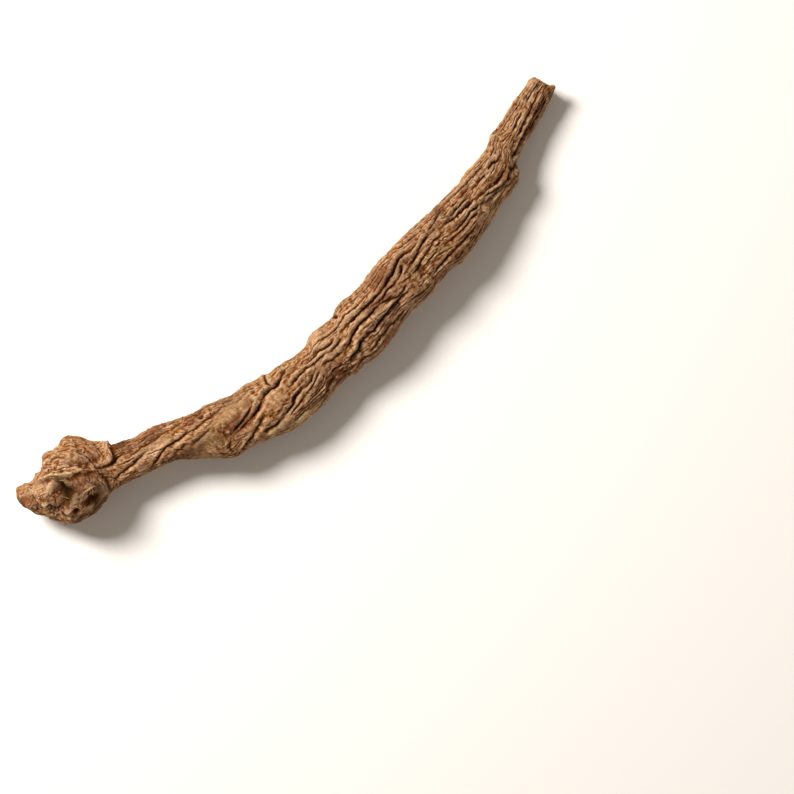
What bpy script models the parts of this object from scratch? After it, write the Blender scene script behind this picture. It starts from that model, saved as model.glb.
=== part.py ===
"""One dried teasel root, lying flat. Metres, +Z up, +X from the crown to the cut tip.

The root grew as one piece, so it is one closed skin: a tube of rings that follows the
root's outline from above and from the side, with the broad folds, the lengthwise wrinkles,
the knobs and the rootlet scars raised from it or sunk into it. All shapes are worked out in
millimetres, in a drawing frame whose x starts at the crown's end, and moved at the end so
that the origin is under the middle of the root.
"""

import math
import random

import bmesh
import bpy
import numpy as np
from mathutils import Vector, noise

MM = 0.001

# The middle of the drawn outline, which becomes the origin.
MIDDLE_X = 74.7
MIDDLE_Y = -12.44

# The root's two edges as seen from above: (distance from the crown's end, across), in mm.
UPPER_EDGE = [
    (-1.8, 0.3), (0.3, 0.7), (2, 0.4), (3.2, -0.2), (5, 0.2), (7, 0.7), (8.2, 1.4),
    (8.9, 2.4), (10, 2.9), (11, 2.8), (12.2, 2.4), (13.4, 2.4), (14.6, 2.8), (15.8, 2.9),
    (17, 2.2), (18.2, 0.8), (19.1, -1.0), (20.0, -2.6), (21, -3.8), (22, -4.6),
    (23.2, -5.0), (25, -5.7), (27, -6.5), (30, -7.1), (33, -7.8), (36, -8.9), (38.5, -10),
    (41, -10.8), (45, -11.2), (48, -12.0), (50, -12.7), (55, -12.9), (57.5, -13.4),
    (59.3, -13.5), (60.2, -13.9), (62, -14), (65, -14.2), (68, -14.7), (71.2, -14.4),
    (72.4, -13.6), (73.6, -13.2), (77, -13.1), (79.8, -13.0), (80.8, -12.3), (82.5, -11.7),
    (86, -11.6), (90, -11.2), (93, -10.2), (98, -9.4), (105, -8.6), (114, -7.8), (120, -7),
    (125, -5.8), (131, -4.1), (132.7, -2.8), (135, -2.4), (140, -0.7), (145, 1.0),
    (147.5, 1.8), (149.5, 2.0),
]
LOWER_EDGE = [
    (-1.8, -5.2), (-0.5, -6.2), (0.5, -7.6), (2, -9.6), (3, -11.8), (4.5, -13.2),
    (6, -14.2), (8, -14.7), (11, -14.8), (14, -14.3), (16.5, -13.5), (19, -13.7),
    (25, -15), (30, -16), (33, -17), (35, -18.7), (37.5, -20.3), (40, -22.2),
    (42.5, -24), (47, -24.7), (50, -25.3), (53, -26.3), (57, -27.5), (64, -27.5),
    (68, -27), (71, -26.1), (78, -26.0), (85, -25.8), (88.5, -24.7), (91, -23.7),
    (94, -23.0), (100, -22.5), (105, -21), (112, -20.7), (118, -19.2), (124, -17),
    (130, -15.3), (131.8, -14.3), (133.2, -12), (136, -10.2), (140, -8.3), (145, -6.4),
    (149, -4.6), (151, -3.6),
]

# The root's height: the top and the underside along its length, in mm above the surface
# that it lies on. The underside dips below it at three places, where the root rests.
TOP = [
    (-1.8, 8.6), (0, 9.6), (2, 9.9), (5, 11.8), (8, 13.8), (12, 14.4), (15, 13.4),
    (18, 11.2), (20, 10.3), (25, 9.9), (32, 10.4), (40, 11.1), (50, 11.7), (60, 12.0),
    (70, 11.7), (80, 11.9), (90, 12.6), (100, 12.8), (110, 12.4), (118, 11.5),
    (125, 10.4), (132.5, 8.9), (137, 7.6), (142, 7.0), (148, 6.9), (151, 6.7),
]
UNDERSIDE = [
    (-1.8, 4.6), (0, 4.0), (2, 3.0), (5, 0.7), (8, -0.4), (12, -0.2), (16, 1.6),
    (20, 2.7), (26, 2.9), (35, 2.3), (45, 1.1), (55, -0.1), (62, -0.45), (69, -0.1),
    (78, 0.8), (90, 1.5), (105, 1.8), (118, 1.4), (128, 0.8), (136, 0.0), (141, -0.25),
    (146, 0.1), (151, 0.7),
]

# The crown's end rounds off over this length, and the tip's cut leans by this slope.
CROWN_END_X = -1.6
CROWN_ROUNDING = 2.3
CROWN_END_GAP = 0.75
TIP_LEAN = 0.3
TIP_LEAN_STARTS_X = 126
TIP_END_X = 149.8
TIP_EDGE_LENGTH = 0.5
TIP_EDGE = 0.08

# The rings that close the two ends: the share of the end ring's width, and how far along X.
CROWN_END_STEPS = [(0.76, -0.36), (0.5, -0.58), (0.28, -0.68), (0.12, -0.73)]
TIP_CUT_STEPS = [(0.84, 0.12), (0.6, 0.0), (0.35, -0.05), (0.14, 0.15)]

# Where the root was pressed flat by its own weight: (x, length, width) of each spot.
RESTING_SPOTS = [(9.5, 7, 6), (62.5, 12, 7), (140.5, 7, 4)]

# The wrinkles that can be seen from above: depth, then the (x, y) points they pass.
WRINKLES_FROM_ABOVE = [
    # The crown: the creases round the end knob, the arcs of the upper lobe, the neck's crease.
    (0.55, [(2.4, 0.8), (2.7, -0.1), (3.3, -0.9)]),
    (0.4, [(1.7, -1.2), (1.9, -3.2), (1.6, -5.0), (0.7, -6.4)]),
    (0.3, [(9.8, 0.9), (11.2, 0.1), (12.8, -0.9)]),
    (0.3, [(12.0, 1.4), (13.6, 0.6), (15.2, -0.6)]),
    (0.4, [(15.2, -1.2), (16.3, -2.8), (16.9, -4.2), (17.0, -6.2)]),
    (0.35, [(17.1, -0.6), (17.8, -2.8), (17.9, -5.0), (17.7, -6.6)]),
    (0.35, [(17.8, 0.9), (18.9, -0.8), (19.7, -2.6), (19.9, -4.8), (19.4, -6.6)]),
    (0.7, [(4.4, -9.6), (4.8, -11.0), (6.2, -12.4), (7.6, -13.4)]),
    (0.6, [(16.5, -7.4), (16.9, -8.8), (17.1, -10.1), (16.7, -11.4), (16.3, -12.8)]),
    # The neck.
    (0.65, [(16.4, -6.9), (18.3, -7.9), (20.1, -8.3), (22.5, -8.4), (25, -8.2)]),
    (0.35, [(26, -8.6), (30, -8.7), (33, -8.9), (36, -9.6), (38, -10.2)]),
    (0.35, [(24, -9.9), (28, -10.1), (32, -10.4), (36, -10.6), (40, -11.0)]),
    (0.6, [(17.6, -12.1), (20.3, -11.5), (22.6, -11.8), (26, -11.5), (30, -11.1)]),
    (0.75, [(20, -13.6), (24, -14.4), (27.8, -14.4), (30.8, -13.6), (34.9, -13.4),
            (38.7, -13.5), (42.8, -13.7), (46, -13.8), (50, -13.7)]),
    (0.45, [(30, -15.7), (32.8, -15.8), (34.5, -15.5), (37.5, -15.5)]),
    (0.45, [(36.8, -16.6), (39.3, -16.5), (41.4, -16.2), (43.4, -16.0)]),
    # The bulge of the body, with its deepest folds.
    (1.0, [(44.3, -20.5), (48.4, -20.5), (51.1, -20.0), (53.4, -19.3), (55.2, -18.4),
           (57.2, -17.5), (60.2, -17.3), (61.9, -16.5), (63.2, -16.0), (64.6, -15.5)]),
    (0.7, [(45.8, -19.7), (48.0, -19.5), (49.8, -19.2), (51.5, -18.4), (53.6, -17.5)]),
    (0.5, [(59.7, -13.5), (59.3, -14.6), (59.1, -15.8), (59.5, -17.0)]),
    (0.8, [(42.6, -23.9), (46.4, -23.7), (49.3, -23.3), (50.8, -22.6), (53.2, -21.7),
           (56, -21.2)]),
    (0.35, [(44.8, -21.3), (43.5, -22.0), (43.2, -23.2)]),
    (0.2, [(43.8, -17.0), (44.6, -18.6), (44.2, -20.6)]),
    (0.6, [(61.5, -20.0), (63.5, -19.4), (65, -19.0), (67.9, -18.6), (71.1, -18.9),
           (74.6, -19.1), (76.8, -18.8), (78.4, -18.2), (79.6, -17.4)]),
    (0.95, [(50.5, -23.3), (52.6, -24.1), (55, -24.5), (57.8, -24.3), (60.5, -23.6),
            (62.4, -22.5), (65.5, -22.0), (67.3, -21.7), (68.2, -20.9), (69.4, -20.2)]),
    (0.7, [(57.5, -25.0), (60, -24.7), (62, -24.0), (64.4, -23.4), (66.6, -23.0),
           (68.8, -21.8), (70.8, -20.5)]),
    (0.35, [(51, -14.8), (54, -14.4), (57.6, -14.6)]),
    (0.4, [(58, -26.2), (61, -26.1), (63.8, -26.0)]),
    (0.8, [(63.5, -26.2), (67.3, -26.2), (69, -25.3), (70.8, -24.6), (72.8, -24.2)]),
    # The middle.
    (0.75, [(67.7, -18.0), (70.2, -17.9), (72.3, -17.4), (73.5, -17.8), (75.4, -17.7),
            (77.5, -17.3)]),
    (0.95, [(77.5, -17.3), (79.6, -17.0), (82.6, -16.6), (86.1, -16.2), (90.2, -15.7),
            (92.9, -15.1), (95.8, -14.2), (97.2, -13.1), (99.4, -12.0), (101.7, -11.9),
            (104, -12.1), (106, -11.6)]),
    (0.35, [(68.5, -16.2), (72, -16.1), (76, -15.8), (80, -15.5), (85, -15.0), (89, -14.4)]),
    (0.4, [(71, -20.4), (74, -20.9), (77, -20.7)]),
    (0.4, [(72.0, -23.0), (73.8, -23.1), (75.4, -22.9)]),
    (0.9, [(75.6, -21.9), (78.5, -20.3), (80.8, -19.2), (83.5, -18.3), (85.5, -18.0),
           (89.9, -17.6), (91.4, -17.9), (93.6, -17.7)]),
    (0.7, [(84, -17.2), (88, -16.9), (91, -17.0), (93.2, -16.1), (94.8, -16.0), (96.4, -15.6),
           (97.6, -15.0), (98.6, -14.0), (99.3, -13.0)]),
    (0.55, [(90.6, -18.5), (92.2, -18.4), (94, -19.0), (95.6, -18.6), (97.6, -17.8)]),
    (1.0, [(75, -24.1), (77.6, -23.3), (80.2, -22.4), (82.2, -21.5), (84.9, -21.4),
           (87.3, -20.8), (90.2, -20.2), (92.9, -19.7), (95.8, -19.4), (98.6, -18.8)]),
    (0.6, [(81.2, -24.4), (83.6, -24.1), (85.5, -23.5), (88.5, -22.8), (91, -22.4),
           (93.6, -21.8)]),
    (0.6, [(75.4, -25.7), (77.9, -25.1), (79.6, -24.8), (81.2, -25.1), (82.8, -25.3),
           (84.6, -24.8), (86.8, -24.2)]),
    (0.4, [(94, -21.3), (98, -21.3), (101, -20.9)]),
    (0.5, [(89.8, -15.0), (91.2, -14.4), (92.6, -13.9), (95, -13.2)]),
    (0.35, [(84, -13.6), (88, -13.2), (91, -12.6), (94, -11.6)]),
    (0.5, [(87.6, -12.5), (90, -11.9), (93, -11.1), (96.7, -10.3), (98.6, -10.1)]),
    (0.45, [(79.9, -12.9), (80.0, -13.6), (80.4, -14.4)]),
    # The far half.
    (0.75, [(99.4, -14.6), (101.4, -14.5), (103.2, -13.7), (105, -12.9), (106.8, -12.3),
            (108.6, -12.0)]),
    (0.7, [(108.2, -11.3), (109.6, -10.7), (111.2, -10.0), (113.6, -9.1)]),
    (0.5, [(94.6, -16.6), (97, -16.9), (100.6, -16.8), (102.2, -16.0), (105.4, -14.8),
           (108.2, -13.9), (112, -13.9)]),
    (0.5, [(102.9, -19.7), (106.5, -19.1), (110, -18.3), (114, -17.9), (118, -17.2)]),
    (0.45, [(113.6, -8.8), (117.9, -8.3), (121, -8.0), (124.5, -7.5), (127.6, -7.0)]),
    (0.5, [(113.2, -11.6), (116, -11.2), (119, -10.8), (122.0, -10.2)]),
    (0.75, [(109.6, -13.0), (111.8, -12.4), (114, -12.6), (117.2, -12.5), (118.8, -12.6),
            (120.6, -12.1), (123.2, -12.5), (125, -12.3), (127.2, -12.5), (129, -11.8),
            (130.7, -10.7), (132, -9.9)]),
    (0.7, [(121.2, -10.1), (124.3, -9.5), (126.8, -8.8)]),
    (0.65, [(127.2, -8.5), (129.3, -8.0), (132.6, -7.2)]),
    (0.45, [(111, -15.1), (114.5, -14.9), (116.8, -14.5), (118.4, -13.8), (120.2, -14.0),
            (121.2, -13.5)]),
    (0.6, [(122.6, -13.0), (125, -13.4), (127.9, -13.6), (129.6, -12.9), (130.6, -12.0)]),
    (0.5, [(108.6, -16.2), (113, -16.1), (115.6, -15.9), (118, -15.2), (120, -15.2)]),
    (0.45, [(122.8, -14.7), (126, -14.4), (129.6, -14.0)]),
    (0.6, [(130.0, -6.8), (131.1, -5.9), (132.6, -5.1)]),
    (0.6, [(130.8, -12.2), (132.0, -11.5), (133.2, -10.9)]),
    # The stretch before the cut tip.
    (0.9, [(131.8, -10.6), (134, -9.6), (136.6, -8.2), (140, -6.8), (142.4, -5.7),
           (146.1, -4.2), (149.2, -2.8)]),
    (0.6, [(133.5, -8.3), (136, -7.3), (139, -5.9), (142, -4.6), (144.5, -3.4),
           (146.6, -2.2), (149.4, -1.0)]),
    (0.6, [(139.0, -7.6), (142, -6.4), (145, -5.2), (148.4, -3.6)]),
    (0.45, [(133.4, -6.0), (135, -5.7), (138, -4.9), (140, -3.9), (143, -2.7)]),
    (0.4, [(135, -3.9), (137, -3.1), (141, -1.7), (144.5, -0.4)]),
]

# Knobs and hollows that can be seen from above: (x, y, radius, height), in mm.
KNOBS_FROM_ABOVE = [
    # The crown's lower lobe, its two sunken stem scars and its broken leaf bases.
    (10.8, -9.0, 4.6, 1.3),
    (7.7, -5.0, 1.4, -1.8),
    (8.3, -7.4, 1.4, -1.9),
    (12.1, -11.8, 1.9, -1.7),
    (12.4, -9.3, 1.5, 0.5),
    (5.9, -10.4, 1.2, 0.7),
    (3.6, -7.5, 0.65, -0.9),
    (3.8, -8.9, 0.6, -0.9),
    (4.8, -10.9, 0.8, -0.9),
    (7.4, -11.8, 0.8, -0.8),
    (4.9, -7.4, 1.0, 0.6),
    (2.8, -6.3, 0.8, 0.5),
    (15.0, -9.6, 1.5, 0.5),
    (9.6, -13.2, 1.3, 0.6),
    (14.8, -12.0, 1.2, 0.4),
    # The upper lobe, the end knob and the smooth slope between them.
    (12.8, 0.4, 2.6, 0.5),
    (14.8, -2.6, 1.2, 0.35),
    (10.3, -3.0, 0.6, -0.5),
    (12.9, -2.9, 0.7, -0.5),
    (14.3, -4.2, 0.7, -0.4),
    (0.2, -2.8, 2.0, 0.45),
    (4.0, -2.6, 1.8, 0.3),
    # The body: the smooth bulge, the flat plateau and the scars.
    (40.5, -19.6, 3.4, 0.5),
    (58.6, -19.4, 3.0, 0.45),
    (45.5, -19.1, 0.5, 0.45),
    (54.7, -16.5, 0.7, 0.45),
    (55.4, -15.3, 0.5, -0.6),
    (42.8, -12.8, 0.6, -0.5),
    (63.4, -16.0, 0.8, -0.4),
    (66.2, -16.6, 0.7, -0.3),
    (92.0, -17.2, 0.9, -0.4),
    (101.8, -17.0, 1.3, -0.7),
    (101.6, -19.9, 0.8, 0.45),
    (85.2, -12.4, 0.5, -0.4),
    (121.5, -15.6, 0.8, 0.7),
    (133.3, -3.5, 1.2, 0.5),
    (131.5, -13.3, 1.1, 0.7),
    (150.0, -2.9, 0.8, 0.5),
]

# Steps in the bark: height, the step's width, how far the bark falls away behind it, and the
# (x, y) points that it passes. The bark on the line's left stands higher, as the line runs.
LEDGES_FROM_ABOVE = [
    # The rim between the crown's two lobes, high at first and then low.
    (1.2, 1.4, 2.0, [(4.4, -1.2), (6.8, -2.3), (8.3, -3.3), (10.0, -4.4), (12.4, -5.6)]),
    (0.5, 0.9, 1.6, [(10.8, -4.8), (12.8, -5.6), (14.6, -6.4), (17.0, -7.7)]),
    # The other edge of the hollow beside it.
    (0.7, 1.0, 1.6, [(4.9, -7.2), (5.5, -5.9), (6.3, -4.5), (7.2, -2.9)]),
]

# The collar, where the crown's upper lobe ends in a step down to the neck: its height, width,
# reach, and points of (x, angle round the root from its upper edge, in radians).
COLLAR = (1.2, 0.35, 3.2, [(19.0, 1.76), (20.8, 1.5), (21.8, 1.2), (22.3, 0.75), (22.6, 0.2),
                           (22.2, -0.4), (21.0, -0.9), (19.4, -1.5)])

# Ovals that the wrinkles below keep clear of: (x, y, half length, half width).
SMOOTH_OVALS = [
    (38.8, -19.0, 5.2, 3.2), (49.5, -16.2, 6.0, 1.7), (58.6, -19.4, 3.2, 1.7),
    (62.4, -14.9, 2.4, 0.7), (73.5, -15.0, 6.0, 0.8),
]

# The wrinkles that the root has all round, drawn with a fixed seed where none is given above.
SEED = 9
WRINKLE_TRIES = 6000
WRINKLE_SPACING = 0.215  # radians round the root
WRINKLE_END_GAP = 1.0
WRINKLE_LENGTHS = (6, 30)
WRINKLE_DEPTHS = (0.35, 0.8)
WRINKLE_WIDTH = 0.36
WRINKLE_WIDENING = 0.3  # wider by this share of the depth
WRINKLED_FROM_X = 22
WRINKLED_TO_X = 149.5
CROWN_WRINKLES = 26
SCAR_COUNT = 16

# Broad folds: depth, size across and how many times longer than wide.
FOLD_DEPTH = 0.75
FOLD_SIZE = 5.5
FOLD_STRETCH = 4.0
SWELL_DEPTH = 0.3
SWELL_SIZE = 3.2
CROWN_LUMP_DEPTH = 0.7
CROWN_LUMP_SIZE = 2.6
CROWN_LUMP_SINK = 0.25
CALM_EDGES = 0.7  # the share by which both are weaker along the two edges

# The mesh: corners round each ring, and the number of rings in the crown and the body.
# It is made fine and then thinned out to this many triangles.
CORNERS = 144
CROWN_RINGS = 60
BODY_RINGS = 250
BODY_STARTS_X = 20.0
TRIANGLES = 11800
RESTING_FLATNESS = 0.03

BARK_COLOUR = (0.36, 0.19, 0.085, 1.0)
BARK_ROUGHNESS = 0.85


def curve(points, x):
    """The smooth line through (x, value) points, read at x."""
    xs, values = np.array(points, float).T
    slopes = np.gradient(values, xs)
    left = np.clip(np.searchsorted(xs, x) - 1, 0, len(xs) - 2)
    gap = xs[left + 1] - xs[left]
    t = np.clip((x - xs[left]) / gap, 0, 1)
    rise = t * t * (3 - 2 * t)
    bend = gap * (t * (1 - t) ** 2 * slopes[left] - t * t * (1 - t) * slopes[left + 1])
    return values[left] * (1 - rise) + values[left + 1] * rise + bend


def section(x):
    """The middle, half width, half height and lean of the ring at x."""
    lean = TIP_LEAN * np.clip((x - TIP_LEAN_STARTS_X) / 12, 0, 1)
    reach = lean * (curve(UPPER_EDGE, x) - curve(LOWER_EDGE, x)) / 2
    upper = curve(UPPER_EDGE, x - reach)
    lower = curve(LOWER_EDGE, x + reach)
    top = curve(TOP, x)
    underside = curve(UNDERSIDE, x)
    from_end = np.clip((x - CROWN_END_X) / CROWN_ROUNDING, 0, 1)
    closing = np.sqrt(1 - (1 - from_end) ** 2)
    closing = closing * (1 - TIP_EDGE * np.clip((x - TIP_END_X) / TIP_EDGE_LENGTH + 1, 0, 1) ** 2)
    half_width = (upper - lower) / 2 * closing
    half_height = (top - underside) / 2 * closing
    return (upper + lower) / 2, (top + underside) / 2, half_width, half_height, lean


def skin(x, angle):
    """Points of the smooth skin. The angle runs from the upper edge over the top."""
    middle_y, middle_z, half_width, half_height, lean = section(x)
    across = half_width * np.cos(angle)
    return np.stack([x - lean * across, middle_y + across,
                     middle_z + half_height * np.sin(angle)], axis=-1)


def mean_radius(x):
    """The ring's mean radius, which turns an angle into a distance round the root."""
    _, _, half_width, half_height, _ = section(x)
    return np.sqrt((half_width ** 2 + half_height ** 2) / 2)


def from_above(x, y):
    """The angle at which the skin's upper side passes (x, y)."""
    middle_y, _, half_width, _, _ = section(np.asarray(x, float))
    return np.arccos(np.clip((y - middle_y) / half_width, -0.995, 0.995))


def turn(angle):
    """An angle's difference, brought between minus and plus half a turn."""
    return (angle + math.pi) % (2 * math.pi) - math.pi


def wrinkle(depth, points):
    """One wrinkle, as (depth, width, x and angle of each point)."""
    return depth, WRINKLE_WIDTH + WRINKLE_WIDENING * depth, points


def seen_from_above(points):
    """(x, y) points on the upper side, as x and angle."""
    x, y = np.array(points, float).T
    return np.stack([x, from_above(x, y)], axis=1)


def ledges():
    """The steps, as (height, width, reach, x and angle of each point)."""
    found = [(height, width, reach, seen_from_above(points))
             for height, width, reach, points in LEDGES_FROM_ABOVE]
    height, width, reach, points = COLLAR
    return found + [(height, width, reach, np.array(points))]


def smooth_places():
    """Points a millimetre apart in every smooth oval, as x and angle."""
    places = []
    for oval_x, oval_y, half_length, half_width in SMOOTH_OVALS:
        for x in np.arange(oval_x - half_length, oval_x + half_length + 0.5):
            across = half_width * math.sqrt(max(0.0, 1 - ((x - oval_x) / half_length) ** 2))
            places += [(x, y) for y in np.linspace(oval_y - across, oval_y + across, 6)]
    return seen_from_above(places)


def wander(x, angle):
    """How far the wrinkles near this place stray round the root, in radians."""
    place = Vector((x / 22, 0.8 * math.cos(angle), 0.8 * math.sin(angle)))
    quick = Vector((x / 4.5, 2.2 * math.cos(angle), 2.2 * math.sin(angle)))
    return 0.5 * noise.noise(place) + 0.05 * noise.noise(quick)


def grown_wrinkles(drawn, rng):
    """More wrinkles along the root, each kept where it stays clear of those before it."""
    lines = [points for _, _, points in drawn] + [np.array(COLLAR[3])]
    taken = [np.column_stack([np.linspace(a[0], b[0], 6), np.linspace(a[1], b[1], 6)])
             for points in lines for a, b in zip(points[:-1], points[1:])]
    taken = np.concatenate(taken + [smooth_places()])
    grown = []
    for _ in range(WRINKLE_TRIES):
        length = rng.uniform(*WRINKLE_LENGTHS)
        start = rng.uniform(WRINKLED_FROM_X - 2, WRINKLED_TO_X - WRINKLE_LENGTHS[0])
        end = min(start + length, WRINKLED_TO_X)
        home = rng.uniform(0, 2 * math.pi)
        depth = rng.uniform(*WRINKLE_DEPTHS)
        x = np.linspace(start, end, max(4, round(length / 1.6)))
        angle = np.array([home + wander(at, home) for at in x])
        near = np.abs(taken[:, None, 0] - x) < WRINKLE_END_GAP
        close = np.abs(turn(taken[:, None, 1] - angle)) < WRINKLE_SPACING
        if (near & close).any():
            continue
        points = np.stack([x, angle], axis=1)
        grown.append(wrinkle(depth, points))
        taken = np.concatenate([taken, points])
    return grown


def crown_wrinkles(rng):
    """Short creases in all directions on the crown's underside and flanks."""
    creases = []
    for _ in range(CROWN_WRINKLES):
        x = rng.uniform(2, 17)
        angle = math.pi * rng.uniform(1.0, 2.0)
        heading = rng.uniform(0, math.pi)
        reach = rng.uniform(1.2, 2.6)
        step_x = reach * math.cos(heading)
        step_angle = reach * math.sin(heading) / float(mean_radius(np.array(x)))
        points = np.array([(x + t * step_x, angle + t * step_angle) for t in (-1, -0.3, 0.4, 1)])
        points[1:3, 1] += rng.uniform(-0.08, 0.08)
        creases.append(wrinkle(rng.uniform(0.4, 0.8), points))
    return creases


def knobs(rng):
    """Knobs, pits and rootlet scars, as (x, angle, radius, height)."""
    found = [(x, float(from_above(x, y)), radius, height)
             for x, y, radius, height in KNOBS_FROM_ABOVE]
    for _ in range(SCAR_COUNT):
        radius = rng.uniform(0.7, 1.1)
        height = rng.choice((-0.45, 0.45, 0.6))
        found.append((rng.uniform(24, 146), math.pi * rng.uniform(1.02, 1.98), radius, height))
    return found


def from_line(x, angle, radius, points):
    """Each place's distance from a line, its share of the way along, and its side of it."""
    nearest = np.full(x.shape, np.inf)
    along = np.zeros(x.shape)
    side = np.zeros(x.shape)
    for leg, (a, b) in enumerate(zip(points[:-1], points[1:])):
        leg_x = b[0] - a[0]
        leg_round = turn(b[1] - a[1]) * radius
        off_x = x - a[0]
        off_round = turn(angle - a[1]) * radius
        share = (off_x * leg_x + off_round * leg_round) / (leg_x ** 2 + leg_round ** 2)
        share = np.clip(share, 0, 1)
        distance = np.hypot(off_x - share * leg_x, off_round - share * leg_round)
        closer = distance < nearest
        nearest = np.where(closer, distance, nearest)
        along = np.where(closer, (leg + share) / (len(points) - 1), along)
        side = np.where(closer, np.sign(leg_round * off_x - leg_x * off_round), side)
    return nearest, along, side


def eased(value):
    """0 to 1 with a soft start and a soft end."""
    value = np.clip(value, 0, 1)
    return value * value * (3 - 2 * value)


def wrinkle_relief(x, angle, radius, depth, width, points):
    """The dent of one wrinkle: deepest in its middle, gone at its ends, with raised lips."""
    relief = np.zeros_like(x)
    margin = 4 * width
    near = (x > points[:, 0].min() - margin) & (x < points[:, 0].max() + margin)
    if not near.any():
        return relief
    distance, along, _ = from_line(x[near], angle[near], radius[near], points)
    off = distance / width
    dent = -np.exp(-1.2 * off ** 1.4) + 0.3 * np.exp(-((off - 2.0) / 0.9) ** 2)
    relief[near] = depth * eased(np.minimum(along, 1 - along) / 0.2) * dent
    return relief


def ledge_relief(x, angle, radius, height, width, reach, points):
    """The bark that a step raises on its line's left, and that falls away behind it."""
    distance, along, side = from_line(x, angle, radius, points)
    inward = distance * side
    raised = eased(inward / width + 0.5) * np.exp(-(np.maximum(inward, 0) / reach) ** 1.5)
    return height * eased(np.minimum(along, 1 - along) / 0.15) * raised


def stretched_noise(points, size, stretch, shift):
    """Smooth noise, about -1 to 1, drawn out along the root."""
    scaled = points / np.array([size * stretch, size, size]) + shift
    flat = [noise.noise(Vector(place)) for place in scaled.reshape(-1, 3)]
    return np.array(flat).reshape(points.shape[:-1])


def resting(x, angle, radius):
    """1 in the middle of a spot that the root rests on, 0 away from it."""
    pressed = np.zeros_like(x)
    for spot_x, length, width in RESTING_SPOTS:
        off_x = (x - spot_x) / length
        off_round = turn(angle - 1.5 * math.pi) * radius / width
        pressed = np.maximum(pressed, np.clip(1.6 - 2.2 * np.hypot(off_x, off_round), 0, 1))
    return pressed


def relief(x, angle, wrinkles, steps, bumps):
    """How far the bark stands out from the smooth skin, in mm."""
    radius = mean_radius(x)
    places = skin(x, angle)
    crown = np.clip((19 - x) / 4, 0, 1)
    size = np.clip(radius / 6, 0.3, 1)
    height = FOLD_DEPTH * stretched_noise(places, FOLD_SIZE, FOLD_STRETCH, 3.1)
    height += SWELL_DEPTH * stretched_noise(places, SWELL_SIZE, 1.6, 11.7)
    height = height * size * (1 - 0.5 * crown)
    lumps = CROWN_LUMP_DEPTH * stretched_noise(places, CROWN_LUMP_SIZE, 1.0, 5.3)
    height += crown * (lumps - CROWN_LUMP_SINK)
    height *= 1 - CALM_EDGES * np.cos(angle) ** 4
    for depth, width, points in wrinkles:
        height += wrinkle_relief(x, angle, radius, depth, width, points)
    for step in steps:
        height += ledge_relief(x, angle, radius, *step)
    for knob_x, knob_angle, knob_radius, knob_height in bumps:
        off = np.hypot(x - knob_x, turn(angle - knob_angle) * radius) / knob_radius
        height += knob_height * np.exp(-off ** 2.4)
    return height * (1 - resting(x, angle, radius))


def ring_places():
    """Each ring's x: close together where the crown's end rounds off, then evenly spaced."""
    spread = np.linspace(0, 1, CROWN_RINGS) ** 1.15
    crown_start = CROWN_END_X + CROWN_END_GAP
    crown = crown_start + (BODY_STARTS_X - crown_start) * spread
    body = np.linspace(BODY_STARTS_X, TIP_END_X - TIP_EDGE_LENGTH, BODY_RINGS + 1)[1:]
    return np.concatenate([crown, body, [TIP_END_X]])


def bark_points():
    """The corners of every ring, with the bark's relief along the skin's own normal."""
    rng = random.Random(SEED)
    drawn = [wrinkle(depth, seen_from_above(points)) for depth, points in WRINKLES_FROM_ABOVE]
    wrinkles = drawn + grown_wrinkles(drawn, rng) + crown_wrinkles(rng)
    bumps = knobs(rng)
    round_root = np.linspace(0, 2 * math.pi, CORNERS, endpoint=False)
    x, angle = np.meshgrid(ring_places(), round_root, indexing="ij")
    smooth = skin(x, angle)
    along = np.gradient(smooth, axis=0)
    around = np.roll(smooth, -1, axis=1) - np.roll(smooth, 1, axis=1)
    normal = np.cross(around, along)
    normal /= np.linalg.norm(normal, axis=-1, keepdims=True)
    height = relief(x, angle, wrinkles, ledges(), bumps)
    points = smooth + normal * height[..., None]
    points[..., 2] = np.maximum(points[..., 2], 0)
    return points


def add_ring(bm, points):
    """Vertices for one ring of points in mm, moved to the part's own frame."""
    return [bm.verts.new(((x - MIDDLE_X) * MM, (y - MIDDLE_Y) * MM, z * MM))
            for x, y, z in points]


def join_rings(bm, first, second):
    """A band of quads between two rings."""
    for here in range(len(first)):
        after = (here + 1) % len(first)
        bm.faces.new((first[here], first[after], second[after], second[here]))


def close_end(bm, ring, corners, steps, flip):
    """Close a ring: each step has half as many corners, drawn in and pushed along X."""
    middle = ring.mean(axis=0)
    for share, push in steps:
        ring = ring[::2]
        points = middle + (ring - middle) * share + np.array([push, 0, 0])
        inner = add_ring(bm, points)
        for here, near in enumerate(inner):
            far = inner[(here + 1) % len(inner)]
            first, second = corners[2 * here], corners[2 * here + 1]
            third = corners[(2 * here + 2) % len(corners)]
            for face in ((first, second, near), (second, third, far), (second, far, near)):
                bm.faces.new(face[::-1] if flip else face)
        corners = inner
    last_push = steps[-1][1]
    last = add_ring(bm, [middle + np.array([last_push, 0, 0])])[0]
    for here, corner in enumerate(corners):
        face = (corner, corners[(here + 1) % len(corners)], last)
        bm.faces.new(face[::-1] if flip else face)


def build_root():
    """The whole root as one closed mesh, fine all over."""
    points = bark_points()
    bm = bmesh.new()
    rings = [add_ring(bm, ring) for ring in points]
    for first, second in zip(rings[:-1], rings[1:]):
        join_rings(bm, first, second)
    close_end(bm, points[0], rings[0], CROWN_END_STEPS, flip=True)
    close_end(bm, points[-1], rings[-1], TIP_CUT_STEPS, flip=False)
    bmesh.ops.triangulate(bm, faces=bm.faces)
    mesh = bpy.data.meshes.new("teasel_root")
    bm.to_mesh(mesh)
    bm.free()
    return mesh


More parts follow.
